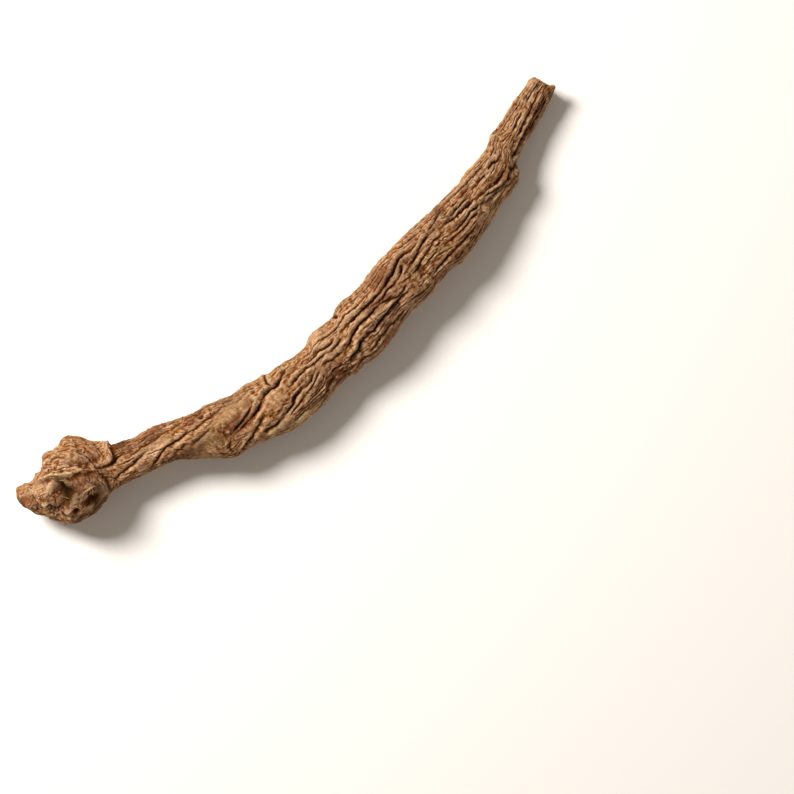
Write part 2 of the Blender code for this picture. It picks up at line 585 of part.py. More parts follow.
def thin_out(root):
    """Fewer triangles: large on smooth bark, and small along every wrinkle."""
    decimate = root.modifiers.new("Decimate", "DECIMATE")
    decimate.ratio = TRIANGLES / len(root.data.polygons)
    evaluated = root.evaluated_get(bpy.context.evaluated_depsgraph_get())
    thinned = bpy.data.meshes.new_from_object(evaluated)
    fine = root.data
    root.modifiers.clear()
    root.data = thinned
    bpy.data.meshes.remove(fine)
    for vertex in thinned.vertices:
        if vertex.co.z < RESTING_FLATNESS * MM:
            vertex.co.z = 0


def bark_material():
    """Dry, dull, tan bark."""
    material = bpy.data.materials.new("bark")
    material.use_nodes = True
    shader = material.node_tree.nodes["Principled BSDF"]
    shader.inputs["Base Color"].default_value = BARK_COLOUR
    shader.inputs["Roughness"].default_value = BARK_ROUGHNESS
    shader.inputs["Metallic"].default_value = 0.0
    return material


def main():
    for old in list(bpy.data.objects):
        bpy.data.objects.remove(old, do_unlink=True)
    mesh = build_root()
    mesh.materials.append(bark_material())
    root = bpy.data.objects.new("teasel_root", mesh)
    bpy.context.scene.collection.objects.link(root)
    thin_out(root)


main()
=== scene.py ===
# %% [markdown]
# # A dried teasel root
#
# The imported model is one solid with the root's outline, its broad folds and its main
# wrinkles. In this lesson it gets its skin: the same form again, grown on a far finer mesh,
# with sharp clefts between the wrinkles, small creases between those, a gnarled crown with
# torn leaf bases, broken rootlets, and a cut end with its wood showing.
#
# Shapes are worked out in millimetres, in the frame in which the root was drawn: x runs from
# the crown's end to the cut tip, y across the root, and z is the height above the surface
# that it lies on. Everything is moved to the model's own frame, in metres, when its mesh is made.

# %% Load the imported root
import math
import random

import bmesh
import bpy
import numpy as np
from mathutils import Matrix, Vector, noise


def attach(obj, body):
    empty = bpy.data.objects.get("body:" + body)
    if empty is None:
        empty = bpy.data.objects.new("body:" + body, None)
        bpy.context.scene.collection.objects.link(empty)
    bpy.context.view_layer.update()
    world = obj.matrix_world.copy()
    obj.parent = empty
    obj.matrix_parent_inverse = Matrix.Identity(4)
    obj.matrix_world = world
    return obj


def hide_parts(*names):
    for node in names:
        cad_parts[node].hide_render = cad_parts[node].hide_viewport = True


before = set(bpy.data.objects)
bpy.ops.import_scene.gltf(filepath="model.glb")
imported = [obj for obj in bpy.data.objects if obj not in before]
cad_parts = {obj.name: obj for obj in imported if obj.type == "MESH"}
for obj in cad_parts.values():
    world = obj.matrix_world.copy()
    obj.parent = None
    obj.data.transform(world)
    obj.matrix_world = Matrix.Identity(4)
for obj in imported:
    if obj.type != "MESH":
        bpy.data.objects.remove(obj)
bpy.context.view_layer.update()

MM = 0.001

# %% [markdown]
# ## The camera
#
# The root is looked at from straight above, and it lies slantwise in the view, from the
# lower left to the upper right. A camera that looks straight down needs no tracking: an
# unturned Blender camera already looks along -Z, so it is only turned about Z. A long lens
# keeps the two ends of the root at the same scale.

# %% Camera
LENS = 100.0
SENSOR = 36.0
SHOWN_WIDTH = 178.65 * MM
CAMERA_ABOVE = (5.30 * MM, -23.71 * MM)
ROOT_MIDDLE_HEIGHT = 6 * MM
CAMERA_TURN = math.radians(-38.12)

camera_data = bpy.data.cameras.new("camera")
camera_data.lens = LENS
camera_data.sensor_width = SENSOR
camera = bpy.data.objects.new("camera", camera_data)
camera.location = (*CAMERA_ABOVE, ROOT_MIDDLE_HEIGHT + SHOWN_WIDTH * LENS / SENSOR)
camera.rotation_euler = (0, 0, CAMERA_TURN)
bpy.context.scene.collection.objects.link(camera)
bpy.context.scene.camera = camera
print("camera height, mm:", round(camera.location.z / MM, 1))

# %% [markdown]
# ## The root's own form
#
# A root is a bent, tapering tube, so four lines give its form: its two edges as seen from
# above, and its top and its underside along its length. It could be sculpted by hand, but
# lines of points can be measured and repeated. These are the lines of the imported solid,
# because the fine bark has to stay where that solid is.

# %% Outline
UPPER_EDGE = [
    (-1.8, 0.3), (0.3, 0.7), (2, 0.4), (3.2, -0.2), (5, 0.2), (7, 0.7), (8.2, 1.4),
    (8.9, 2.4), (10, 2.9), (11, 2.8), (12.2, 2.4), (13.4, 2.4), (14.6, 2.8), (15.8, 2.9),
    (17, 2.2), (18.2, 0.8), (19.1, -1.0), (20.0, -2.6), (21, -3.8), (22, -4.6),
    (23.2, -5.0), (25, -5.7), (27, -6.5), (30, -7.1), (33, -7.8), (36, -8.9), (38.5, -10),
    (41, -10.8), (45, -11.2), (48, -12.0), (50, -12.7), (55, -12.9), (57.5, -13.4),
    (59.3, -13.5), (60.2, -13.9), (62, -14), (65, -14.2), (68, -14.7), (71.2, -14.4),
    (72.4, -13.6), (73.6, -13.2), (77, -13.1), (79.8, -13.0), (80.8, -12.3), (82.5, -11.7),
    (86, -11.6), (90, -11.2), (93, -10.2), (98, -9.4), (105, -8.6), (114, -7.8), (120, -7),
    (125, -5.8), (131, -4.1), (132.7, -2.8), (135, -2.4), (140, -0.7), (145, 1.0),
    (147.5, 1.8), (149.5, 2.0),
]
LOWER_EDGE = [
    (-1.8, -5.2), (-0.5, -6.2), (0.5, -7.6), (2, -9.6), (3, -11.8), (4.5, -13.2),
    (6, -14.2), (8, -14.7), (11, -14.8), (14, -14.3), (16.5, -13.5), (19, -13.7),
    (25, -15), (30, -16), (33, -17), (35, -18.7), (37.5, -20.3), (40, -22.2),
    (42.5, -24), (47, -24.7), (50, -25.3), (53, -26.3), (57, -27.5), (64, -27.5),
    (68, -27), (71, -26.1), (78, -26.0), (85, -25.8), (88.5, -24.7), (91, -23.7),
    (94, -23.0), (100, -22.5), (105, -21), (112, -20.7), (118, -19.2), (124, -17),
    (130, -15.3), (131.8, -14.3), (133.2, -12), (136, -10.2), (140, -8.3), (145, -6.4),
    (149, -4.6), (151, -3.6),
]
TOP = [
    (-1.8, 8.6), (0, 9.6), (2, 9.9), (5, 11.8), (8, 13.8), (12, 14.4), (15, 13.4),
    (18, 11.2), (20, 10.3), (25, 9.9), (32, 10.4), (40, 11.1), (50, 11.7), (60, 12.0),
    (70, 11.7), (80, 11.9), (90, 12.6), (100, 12.8), (110, 12.4), (118, 11.5),
    (125, 10.4), (132.5, 8.9), (137, 7.6), (142, 7.0), (148, 6.9), (151, 6.7),
]
UNDERSIDE = [
    (-1.8, 4.6), (0, 4.0), (2, 3.0), (5, 0.7), (8, -0.4), (12, -0.2), (16, 1.6),
    (20, 2.7), (26, 2.9), (35, 2.3), (45, 1.1), (55, -0.1), (62, -0.45), (69, -0.1),
    (78, 0.8), (90, 1.5), (105, 1.8), (118, 1.4), (128, 0.8), (136, 0.0), (141, -0.25),
    (146, 0.1), (151, 0.7),
]


def curve(points, x):
    """The smooth line through (x, value) points, read at x."""
    xs, values = np.array(points, float).T
    slopes = np.gradient(values, xs)
    left = np.clip(np.searchsorted(xs, x) - 1, 0, len(xs) - 2)
    gap = xs[left + 1] - xs[left]
    t = np.clip((x - xs[left]) / gap, 0, 1)
    rise = t * t * (3 - 2 * t)
    bend = gap * (t * (1 - t) ** 2 * slopes[left] - t * t * (1 - t) * slopes[left + 1])
    return values[left] * (1 - rise) + values[left + 1] * rise + bend


for place in (10, 60, 140):
    width = curve(UPPER_EDGE, place) - curve(LOWER_EDGE, place)
    print(f"at {place} mm the root is {width:.1f} mm wide")

# %% [markdown]
# ## A skin to carry the bark
#
# Each cross-section is an oval between the four lines. A curve with a bevel would be quicker
# to make, but its rings are all of one shape, and a root's rings widen and flatten along the
# way. Two numbers name any point on the skin: its x, and its angle round the root, which
# starts at the upper edge and runs over the top. The crown's end rounds off like a ball, and
# near the tip the ovals lean, because the tip was cut slightly askew.

# %% Skin
CROWN_END_X = -1.6
CROWN_ROUNDING = 2.3
TIP_LEAN = 0.3
TIP_LEAN_STARTS_X = 126
TIP_LEAN_FADE = 12
TIP_END_X = 149.8
TIP_EDGE_LENGTH = 0.5
TIP_EDGE = 0.08


def section(x):
    """The middle, half width, half height and lean of the ring at x."""
    lean = TIP_LEAN * np.clip((x - TIP_LEAN_STARTS_X) / TIP_LEAN_FADE, 0, 1)
    reach = lean * (curve(UPPER_EDGE, x) - curve(LOWER_EDGE, x)) / 2
    upper = curve(UPPER_EDGE, x - reach)
    lower = curve(LOWER_EDGE, x + reach)
    top = curve(TOP, x)
    underside = curve(UNDERSIDE, x)
    from_end = np.clip((x - CROWN_END_X) / CROWN_ROUNDING, 0, 1)
    closing = np.sqrt(1 - (1 - from_end) ** 2)
    closing = closing * (1 - TIP_EDGE * np.clip((x - TIP_END_X) / TIP_EDGE_LENGTH + 1, 0, 1) ** 2)
    half_width = (upper - lower) / 2 * closing
    half_height = (top - underside) / 2 * closing
    return (upper + lower) / 2, (top + underside) / 2, half_width, half_height, lean


def skin(x, angle):
    """Points of the smooth skin."""
    middle_y, middle_z, half_width, half_height, lean = section(x)
    across = half_width * np.cos(angle)
    return np.stack([x - lean * across, middle_y + across,
                     middle_z + half_height * np.sin(angle)], axis=-1)


def mean_radius(x):
    """The ring's mean radius, which turns an angle into a distance round the root."""
    _, _, half_width, half_height, _ = section(x)
    return np.sqrt((half_width ** 2 + half_height ** 2) / 2)


def from_above(x, y):
    """The angle at which the skin's upper side passes (x, y)."""
    middle_y, _, half_width, _, _ = section(np.asarray(x, float))
    return np.arccos(np.clip((y - middle_y) / half_width, -0.995, 0.995))


def turn(angle):
    """An angle's difference, brought between minus and plus half a turn."""
    return (angle + math.pi) % (2 * math.pi) - math.pi


print("radius at the belly, mm:", round(float(mean_radius(np.array(62.0))), 2))

# %% [markdown]
# ## The wrinkles that can be seen from above
#
# A drying root shrinks far more across than along, so its bark folds into long wrinkles that
# wander, fork and run into each other. They could be painted into a height map, whose pixels
# would blur them. The big ones are drawn instead, as short lines of points that stay
# sharp on any mesh, each with its depth in millimetres.

# %% Drawn wrinkles
WRINKLES_FROM_ABOVE = [
    (0.55, [(2.4, 0.8), (2.7, -0.1), (3.3, -0.9)]),
    (0.4, [(1.7, -1.2), (1.9, -3.2), (1.6, -5.0), (0.7, -6.4)]),
    (0.3, [(9.8, 0.9), (11.2, 0.1), (12.8, -0.9)]),
    (0.3, [(12.0, 1.4), (13.6, 0.6), (15.2, -0.6)]),
    (0.4, [(15.2, -1.2), (16.3, -2.8), (16.9, -4.2), (17.0, -6.2)]),
    (0.35, [(17.1, -0.6), (17.8, -2.8), (17.9, -5.0), (17.7, -6.6)]),
    (0.35, [(17.8, 0.9), (18.9, -0.8), (19.7, -2.6), (19.9, -4.8), (19.4, -6.6)]),
    (0.7, [(4.4, -9.6), (4.8, -11.0), (6.2, -12.4), (7.6, -13.4)]),
    (0.6, [(16.5, -7.4), (16.9, -8.8), (17.1, -10.1), (16.7, -11.4), (16.3, -12.8)]),
    (0.65, [(16.4, -6.9), (18.3, -7.9), (20.1, -8.3), (22.5, -8.4), (25, -8.2)]),
    (0.35, [(26, -8.6), (30, -8.7), (33, -8.9), (36, -9.6), (38, -10.2)]),
    (0.35, [(24, -9.9), (28, -10.1), (32, -10.4), (36, -10.6), (40, -11.0)]),
    (0.6, [(17.6, -12.1), (20.3, -11.5), (22.6, -11.8), (26, -11.5), (30, -11.1)]),
    (0.75, [(20, -13.6), (24, -14.4), (27.8, -14.4), (30.8, -13.6), (34.9, -13.4),
            (38.7, -13.5), (42.8, -13.7), (46, -13.8), (50, -13.7)]),
    (0.45, [(30, -15.7), (32.8, -15.8), (34.5, -15.5), (37.5, -15.5)]),
    (0.45, [(36.8, -16.6), (39.3, -16.5), (41.4, -16.2), (43.4, -16.0)]),
    (1.0, [(44.3, -20.5), (48.4, -20.5), (51.1, -20.0), (53.4, -19.3), (55.2, -18.4),
           (57.2, -17.5), (60.2, -17.3), (61.9, -16.5), (63.2, -16.0), (64.6, -15.5)]),
    (0.7, [(45.8, -19.7), (48.0, -19.5), (49.8, -19.2), (51.5, -18.4), (53.6, -17.5)]),
    (0.5, [(59.7, -13.5), (59.3, -14.6), (59.1, -15.8), (59.5, -17.0)]),
    (0.8, [(42.6, -23.9), (46.4, -23.7), (49.3, -23.3), (50.8, -22.6), (53.2, -21.7),
           (56, -21.2)]),
    (0.35, [(44.8, -21.3), (43.5, -22.0), (43.2, -23.2)]),
    (0.2, [(43.8, -17.0), (44.6, -18.6), (44.2, -20.6)]),
    (0.6, [(61.5, -20.0), (63.5, -19.4), (65, -19.0), (67.9, -18.6), (71.1, -18.9),
           (74.6, -19.1), (76.8, -18.8), (78.4, -18.2), (79.6, -17.4)]),
    (0.95, [(50.5, -23.3), (52.6, -24.1), (55, -24.5), (57.8, -24.3), (60.5, -23.6),
            (62.4, -22.5), (65.5, -22.0), (67.3, -21.7), (68.2, -20.9), (69.4, -20.2)]),
    (0.7, [(57.5, -25.0), (60, -24.7), (62, -24.0), (64.4, -23.4), (66.6, -23.0),
           (68.8, -21.8), (70.8, -20.5)]),
    (0.35, [(51, -14.8), (54, -14.4), (57.6, -14.6)]),
    (0.4, [(58, -26.2), (61, -26.1), (63.8, -26.0)]),
    (0.8, [(63.5, -26.2), (67.3, -26.2), (69, -25.3), (70.8, -24.6), (72.8, -24.2)]),
    (0.75, [(67.7, -18.0), (70.2, -17.9), (72.3, -17.4), (73.5, -17.8), (75.4, -17.7),
            (77.5, -17.3)]),
    (0.95, [(77.5, -17.3), (79.6, -17.0), (82.6, -16.6), (86.1, -16.2), (90.2, -15.7),
            (92.9, -15.1), (95.8, -14.2), (97.2, -13.1), (99.4, -12.0), (101.7, -11.9),
            (104, -12.1), (106, -11.6)]),
    (0.35, [(68.5, -16.2), (72, -16.1), (76, -15.8), (80, -15.5), (85, -15.0), (89, -14.4)]),
    (0.4, [(71, -20.4), (74, -20.9), (77, -20.7)]),
    (0.4, [(72.0, -23.0), (73.8, -23.1), (75.4, -22.9)]),
    (0.9, [(75.6, -21.9), (78.5, -20.3), (80.8, -19.2), (83.5, -18.3), (85.5, -18.0),
           (89.9, -17.6), (91.4, -17.9), (93.6, -17.7)]),
    (0.7, [(84, -17.2), (88, -16.9), (91, -17.0), (93.2, -16.1), (94.8, -16.0), (96.4, -15.6),
           (97.6, -15.0), (98.6, -14.0), (99.3, -13.0)]),
    (0.55, [(90.6, -18.5), (92.2, -18.4), (94, -19.0), (95.6, -18.6), (97.6, -17.8)]),
    (1.0, [(75, -24.1), (77.6, -23.3), (80.2, -22.4), (82.2, -21.5), (84.9, -21.4),
           (87.3, -20.8), (90.2, -20.2), (92.9, -19.7), (95.8, -19.4), (98.6, -18.8)]),
    (0.6, [(81.2, -24.4), (83.6, -24.1), (85.5, -23.5), (88.5, -22.8), (91, -22.4),
           (93.6, -21.8)]),
    (0.6, [(75.4, -25.7), (77.9, -25.1), (79.6, -24.8), (81.2, -25.1), (82.8, -25.3),
           (84.6, -24.8), (86.8, -24.2)]),
    (0.4, [(94, -21.3), (98, -21.3), (101, -20.9)]),
    (0.5, [(89.8, -15.0), (91.2, -14.4), (92.6, -13.9), (95, -13.2)]),
    (0.35, [(84, -13.6), (88, -13.2), (91, -12.6), (94, -11.6)]),
    (0.5, [(87.6, -12.5), (90, -11.9), (93, -11.1), (96.7, -10.3), (98.6, -10.1)]),
    (0.45, [(79.9, -12.9), (80.0, -13.6), (80.4, -14.4)]),
    (0.75, [(99.4, -14.6), (101.4, -14.5), (103.2, -13.7), (105, -12.9), (106.8, -12.3),
            (108.6, -12.0)]),
    (0.7, [(108.2, -11.3), (109.6, -10.7), (111.2, -10.0), (113.6, -9.1)]),
    (0.5, [(94.6, -16.6), (97, -16.9), (100.6, -16.8), (102.2, -16.0), (105.4, -14.8),
           (108.2, -13.9), (112, -13.9)]),
    (0.5, [(102.9, -19.7), (106.5, -19.1), (110, -18.3), (114, -17.9), (118, -17.2)]),
    (0.45, [(113.6, -8.8), (117.9, -8.3), (121, -8.0), (124.5, -7.5), (127.6, -7.0)]),
    (0.5, [(113.2, -11.6), (116, -11.2), (119, -10.8), (122.0, -10.2)]),
    (0.75, [(109.6, -13.0), (111.8, -12.4), (114, -12.6), (117.2, -12.5), (118.8, -12.6),
            (120.6, -12.1), (123.2, -12.5), (125, -12.3), (127.2, -12.5), (129, -11.8),
            (130.7, -10.7), (132, -9.9)]),
    (0.7, [(121.2, -10.1), (124.3, -9.5), (126.8, -8.8)]),
    (0.65, [(127.2, -8.5), (129.3, -8.0), (132.6, -7.2)]),
    (0.45, [(111, -15.1), (114.5, -14.9), (116.8, -14.5), (118.4, -13.8), (120.2, -14.0),
            (121.2, -13.5)]),
    (0.6, [(122.6, -13.0), (125, -13.4), (127.9, -13.6), (129.6, -12.9), (130.6, -12.0)]),
    (0.5, [(108.6, -16.2), (113, -16.1), (115.6, -15.9), (118, -15.2), (120, -15.2)]),
    (0.45, [(122.8, -14.7), (126, -14.4), (129.6, -14.0)]),
    (0.6, [(130.0, -6.8), (131.1, -5.9), (132.6, -5.1)]),
    (0.6, [(130.8, -12.2), (132.0, -11.5), (133.2, -10.9)]),
    (0.9, [(131.8, -10.6), (134, -9.6), (136.6, -8.2), (140, -6.8), (142.4, -5.7),
           (146.1, -4.2), (149.2, -2.8)]),
    (0.6, [(133.5, -8.3), (136, -7.3), (139, -5.9), (142, -4.6), (144.5, -3.4),
           (146.6, -2.2), (149.4, -1.0)]),
    (0.6, [(139.0, -7.6), (142, -6.4), (145, -5.2), (148.4, -3.6)]),
    (0.45, [(133.4, -6.0), (135, -5.7), (138, -4.9), (140, -3.9), (143, -2.7)]),
    (0.4, [(135, -3.9), (137, -3.1), (141, -1.7), (144.5, -0.4)]),
]
WRINKLE_WIDTH = 0.36
WRINKLE_WIDENING = 0.3


def wrinkle(depth, points, width=None):
    """One wrinkle, as (depth, width, x and angle of each point)."""
    return depth, width or WRINKLE_WIDTH + WRINKLE_WIDENING * depth, points


def seen_from_above(points):
    """(x, y) points on the upper side, as x and angle."""
    x, y = np.array(points, float).T
    return np.stack([x, from_above(x, y)], axis=1)


drawn = [wrinkle(depth, seen_from_above(points)) for depth, points in WRINKLES_FROM_ABOVE]
print(len(drawn), "drawn wrinkles")

# %% [markdown]
# ## Steps in the bark
#
# A few edges of the crown are steps rather than wrinkles: the bark on one side stands higher,
# and falls away gently behind. The rim between the two lobes is one, and the collar in which
# the upper lobe ends above the neck is the sharpest. A wrinkle drawn there would cut a line,
# but both its sides would be level. Each step has a height, a width over which it drops, a
# reach behind it, and its points. The left side of the line is the high one.

# %% Ledges
LEDGES_FROM_ABOVE = [
    (1.2, 1.4, 2.0, [(4.4, -1.2), (6.8, -2.3), (8.3, -3.3), (10.0, -4.4), (12.4, -5.6)]),
    (0.5, 0.9, 1.6, [(10.8, -4.8), (12.8, -5.6), (14.6, -6.4), (17.0, -7.7)]),
    (0.7, 1.0, 1.6, [(4.9, -7.2), (5.5, -5.9), (6.3, -4.5), (7.2, -2.9)]),
]
COLLAR = (1.2, 0.35, 3.2, [(19.0, 1.76), (20.8, 1.5), (21.8, 1.2), (22.3, 0.75), (22.6, 0.2),
                           (22.2, -0.4), (21.0, -0.9), (19.4, -1.5)])

ledges = [(height, width, reach, seen_from_above(points))
          for height, width, reach, points in LEDGES_FROM_ABOVE]
ledges.append((*COLLAR[:3], np.array(COLLAR[3])))
print(len(ledges), "ledges")

# %% [markdown]
# ## The wrinkles all round
#
# Nobody can draw the wrinkles on the hidden side one by one, so they are grown: a line starts
# at a random place, strays with the same slow noise as its neighbours, and is kept only where
# it stays clear of the lines before it. A random generator with a fixed seed grows the same
# lines on every run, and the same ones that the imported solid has.

# %% Grown wrinkles
SEED = 9
WRINKLED_FROM_X = 22
WRINKLED_TO_X = 149.5
SMOOTH_OVALS = [
    (38.8, -19.0, 5.2, 3.2), (49.5, -16.2, 6.0, 1.7), (58.6, -19.4, 3.2, 1.7),
    (62.4, -14.9, 2.4, 0.7), (73.5, -15.0, 6.0, 0.8),
]


def wander(x, angle):
    """How far the wrinkles near this place stray round the root, in radians."""
    place = Vector((x / 22, 0.8 * math.cos(angle), 0.8 * math.sin(angle)))
    quick = Vector((x / 4.5, 2.2 * math.cos(angle), 2.2 * math.sin(angle)))
    return 0.5 * noise.noise(place) + 0.05 * noise.noise(quick)


def smooth_places():
    """Points a millimetre apart in every oval that the wrinkles keep clear of."""
    places = []
    for oval_x, oval_y, half_length, half_width in SMOOTH_OVALS:
        for x in np.arange(oval_x - half_length, oval_x + half_length + 0.5):
            across = half_width * math.sqrt(max(0.0, 1 - ((x - oval_x) / half_length) ** 2))
            places += [(x, y) for y in np.linspace(oval_y - across, oval_y + across, 6)]
    return seen_from_above(places)


def points_of(lines):
    """Six points on each leg of these lines."""
    return np.concatenate([
        np.column_stack([np.linspace(a[0], b[0], 6), np.linspace(a[1], b[1], 6)])
        for points in lines for a, b in zip(points[:-1], points[1:])])


def grown(taken, rng, tries, lengths, depths, gap, spacing, width=None):
    """Wrinkles along the root, each kept where it stays clear of those before it."""
    kept = []
    for _ in range(tries):
        length = rng.uniform(*lengths)
        start = rng.uniform(WRINKLED_FROM_X - 2, WRINKLED_TO_X - lengths[0])
        end = min(start + length, WRINKLED_TO_X)
        home = rng.uniform(0, 2 * math.pi)
        depth = rng.uniform(*depths)
        x = np.linspace(start, end, max(4, round(length / 1.6)))
        angle = np.array([home + wander(at, home) for at in x])
        near = np.abs(taken[:, None, 0] - x) < gap
        close = np.abs(turn(taken[:, None, 1] - angle)) < spacing
        if (near & close).any():
            continue
        points = np.stack([x, angle], axis=1)
        kept.append(wrinkle(depth, points, width))
        taken = np.concatenate([taken, points])
    return kept, taken


rng = random.Random(SEED)
drawn_lines = [points for _, _, points in drawn] + [np.array(COLLAR[3])]
taken = np.concatenate([points_of(drawn_lines), smooth_places()])
main_grown, taken = grown(taken, rng, 6000, (6, 30), (0.35, 0.8), 1.0, 0.215)
print(len(main_grown), "grown wrinkles")

# %% [markdown]
# ## Creases, knobs and scars
#
# The crown isn't wrinkled lengthwise. Its creases run every way, and between them stand the
# stumps of old stems and leaves. Knobs and pits are round, so each needs only a place, a
# radius and a height. The generator goes on from where the wrinkles left it.

# %% Crown creases, knobs and scars
CROWN_WRINKLES = 26
SCAR_COUNT = 16
KNOBS_FROM_ABOVE = [
    (10.8, -9.0, 4.6, 1.3), (7.7, -5.0, 1.4, -1.8), (8.3, -7.4, 1.4, -1.9),
    (12.1, -11.8, 1.9, -1.7), (12.4, -9.3, 1.5, 0.5), (5.9, -10.4, 1.2, 0.7),
    (3.6, -7.5, 0.65, -0.9), (3.8, -8.9, 0.6, -0.9), (4.8, -10.9, 0.8, -0.9),
    (7.4, -11.8, 0.8, -0.8), (4.9, -7.4, 1.0, 0.6), (2.8, -6.3, 0.8, 0.5),
    (15.0, -9.6, 1.5, 0.5), (9.6, -13.2, 1.3, 0.6), (14.8, -12.0, 1.2, 0.4),
    (12.8, 0.4, 2.6, 0.5), (14.8, -2.6, 1.2, 0.35), (10.3, -3.0, 0.6, -0.5),
    (12.9, -2.9, 0.7, -0.5), (14.3, -4.2, 0.7, -0.4), (0.2, -2.8, 2.0, 0.45),
    (4.0, -2.6, 1.8, 0.3), (40.5, -19.6, 3.4, 0.5), (58.6, -19.4, 3.0, 0.45),
    (45.5, -19.1, 0.5, 0.45), (54.7, -16.5, 0.7, 0.45), (55.4, -15.3, 0.5, -0.6),
    (42.8, -12.8, 0.6, -0.5), (63.4, -16.0, 0.8, -0.4), (66.2, -16.6, 0.7, -0.3),
    (92.0, -17.2, 0.9, -0.4), (101.8, -17.0, 1.3, -0.7), (101.6, -19.9, 0.8, 0.45),
    (85.2, -12.4, 0.5, -0.4), (121.5, -15.6, 0.8, 0.7), (133.3, -3.5, 1.2, 0.5),
    (131.5, -13.3, 1.1, 0.7), (150.0, -2.9, 0.8, 0.5),
]


def crown_wrinkles(rng):
    """Short creases in all directions on the crown's underside and flanks."""
    creases = []
    for _ in range(CROWN_WRINKLES):
        x = rng.uniform(2, 17)
        angle = math.pi * rng.uniform(1.0, 2.0)
        heading = rng.uniform(0, math.pi)
        reach = rng.uniform(1.2, 2.6)
        step_x = reach * math.cos(heading)
        step_angle = reach * math.sin(heading) / float(mean_radius(np.array(x)))
        points = np.array([(x + t * step_x, angle + t * step_angle) for t in (-1, -0.3, 0.4, 1)])
        points[1:3, 1] += rng.uniform(-0.08, 0.08)
        creases.append(wrinkle(rng.uniform(0.4, 0.8), points))
    return creases


def knobs(rng):
    """Knobs, pits and rootlet scars, as (x, angle, radius, height)."""
    found = [(x, float(from_above(x, y)), radius, height)
             for x, y, radius, height in KNOBS_FROM_ABOVE]
    for _ in range(SCAR_COUNT):
        radius = rng.uniform(0.7, 1.1)
        height = rng.choice((-0.45, 0.45, 0.6))
        found.append((rng.uniform(24, 146), math.pi * rng.uniform(1.02, 1.98), radius, height))
    return found


crown_creases = crown_wrinkles(rng)
bumps = knobs(rng)
print(len(crown_creases), "crown creases,", len(bumps), "knobs and scars")

# %% [markdown]
# ## What the solid leaves out
#
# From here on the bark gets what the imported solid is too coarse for. The first layer is a
# second growth of wrinkles, one to three tenths of a millimetre deep and narrow as a pencil
# line. They fill the ridges between the big ones and follow the same slow noise, so that
# everything runs the same way. Short cracks lie across the grain, where the bark has split.

# %% Fine wrinkles
CROSS_CRACKS = 280

fine_rng = random.Random(SEED + 1)
fine_grown, taken = grown(taken, fine_rng, 7000, (2.5, 11), (0.14, 0.34), 0.7, 0.088, 0.19)
cross_cracks = []
for _ in range(CROSS_CRACKS):
    start = np.array([fine_rng.uniform(20, 148), fine_rng.uniform(0, 2 * math.pi)])
    reach = fine_rng.uniform(0.35, 1.1)
    lean = fine_rng.uniform(-0.7, 0.7)
    per_mm = 1 / float(mean_radius(start[0]))
    steps = [(t * lean * reach + fine_rng.uniform(-0.12, 0.12), t * reach * per_mm)
             for t in (-1, -0.2, 0.4, 1)]
    cross_cracks.append(wrinkle(fine_rng.uniform(0.1, 0.24), start + np.array(steps), 0.15))
print(len(fine_grown), "fine wrinkles and", len(cross_cracks), "cracks across the grain")

# %% [markdown]
# The crown has fine lines of its own. Old leaves grew round its upper lobe, and left arcs
# that follow each other like the edges of stacked saucers. Short rays cross the outermost
# arc, and a rim of torn fibres runs between the two lobes. Each line has a depth, a width and
# its points, and a negative depth makes it a ridge.

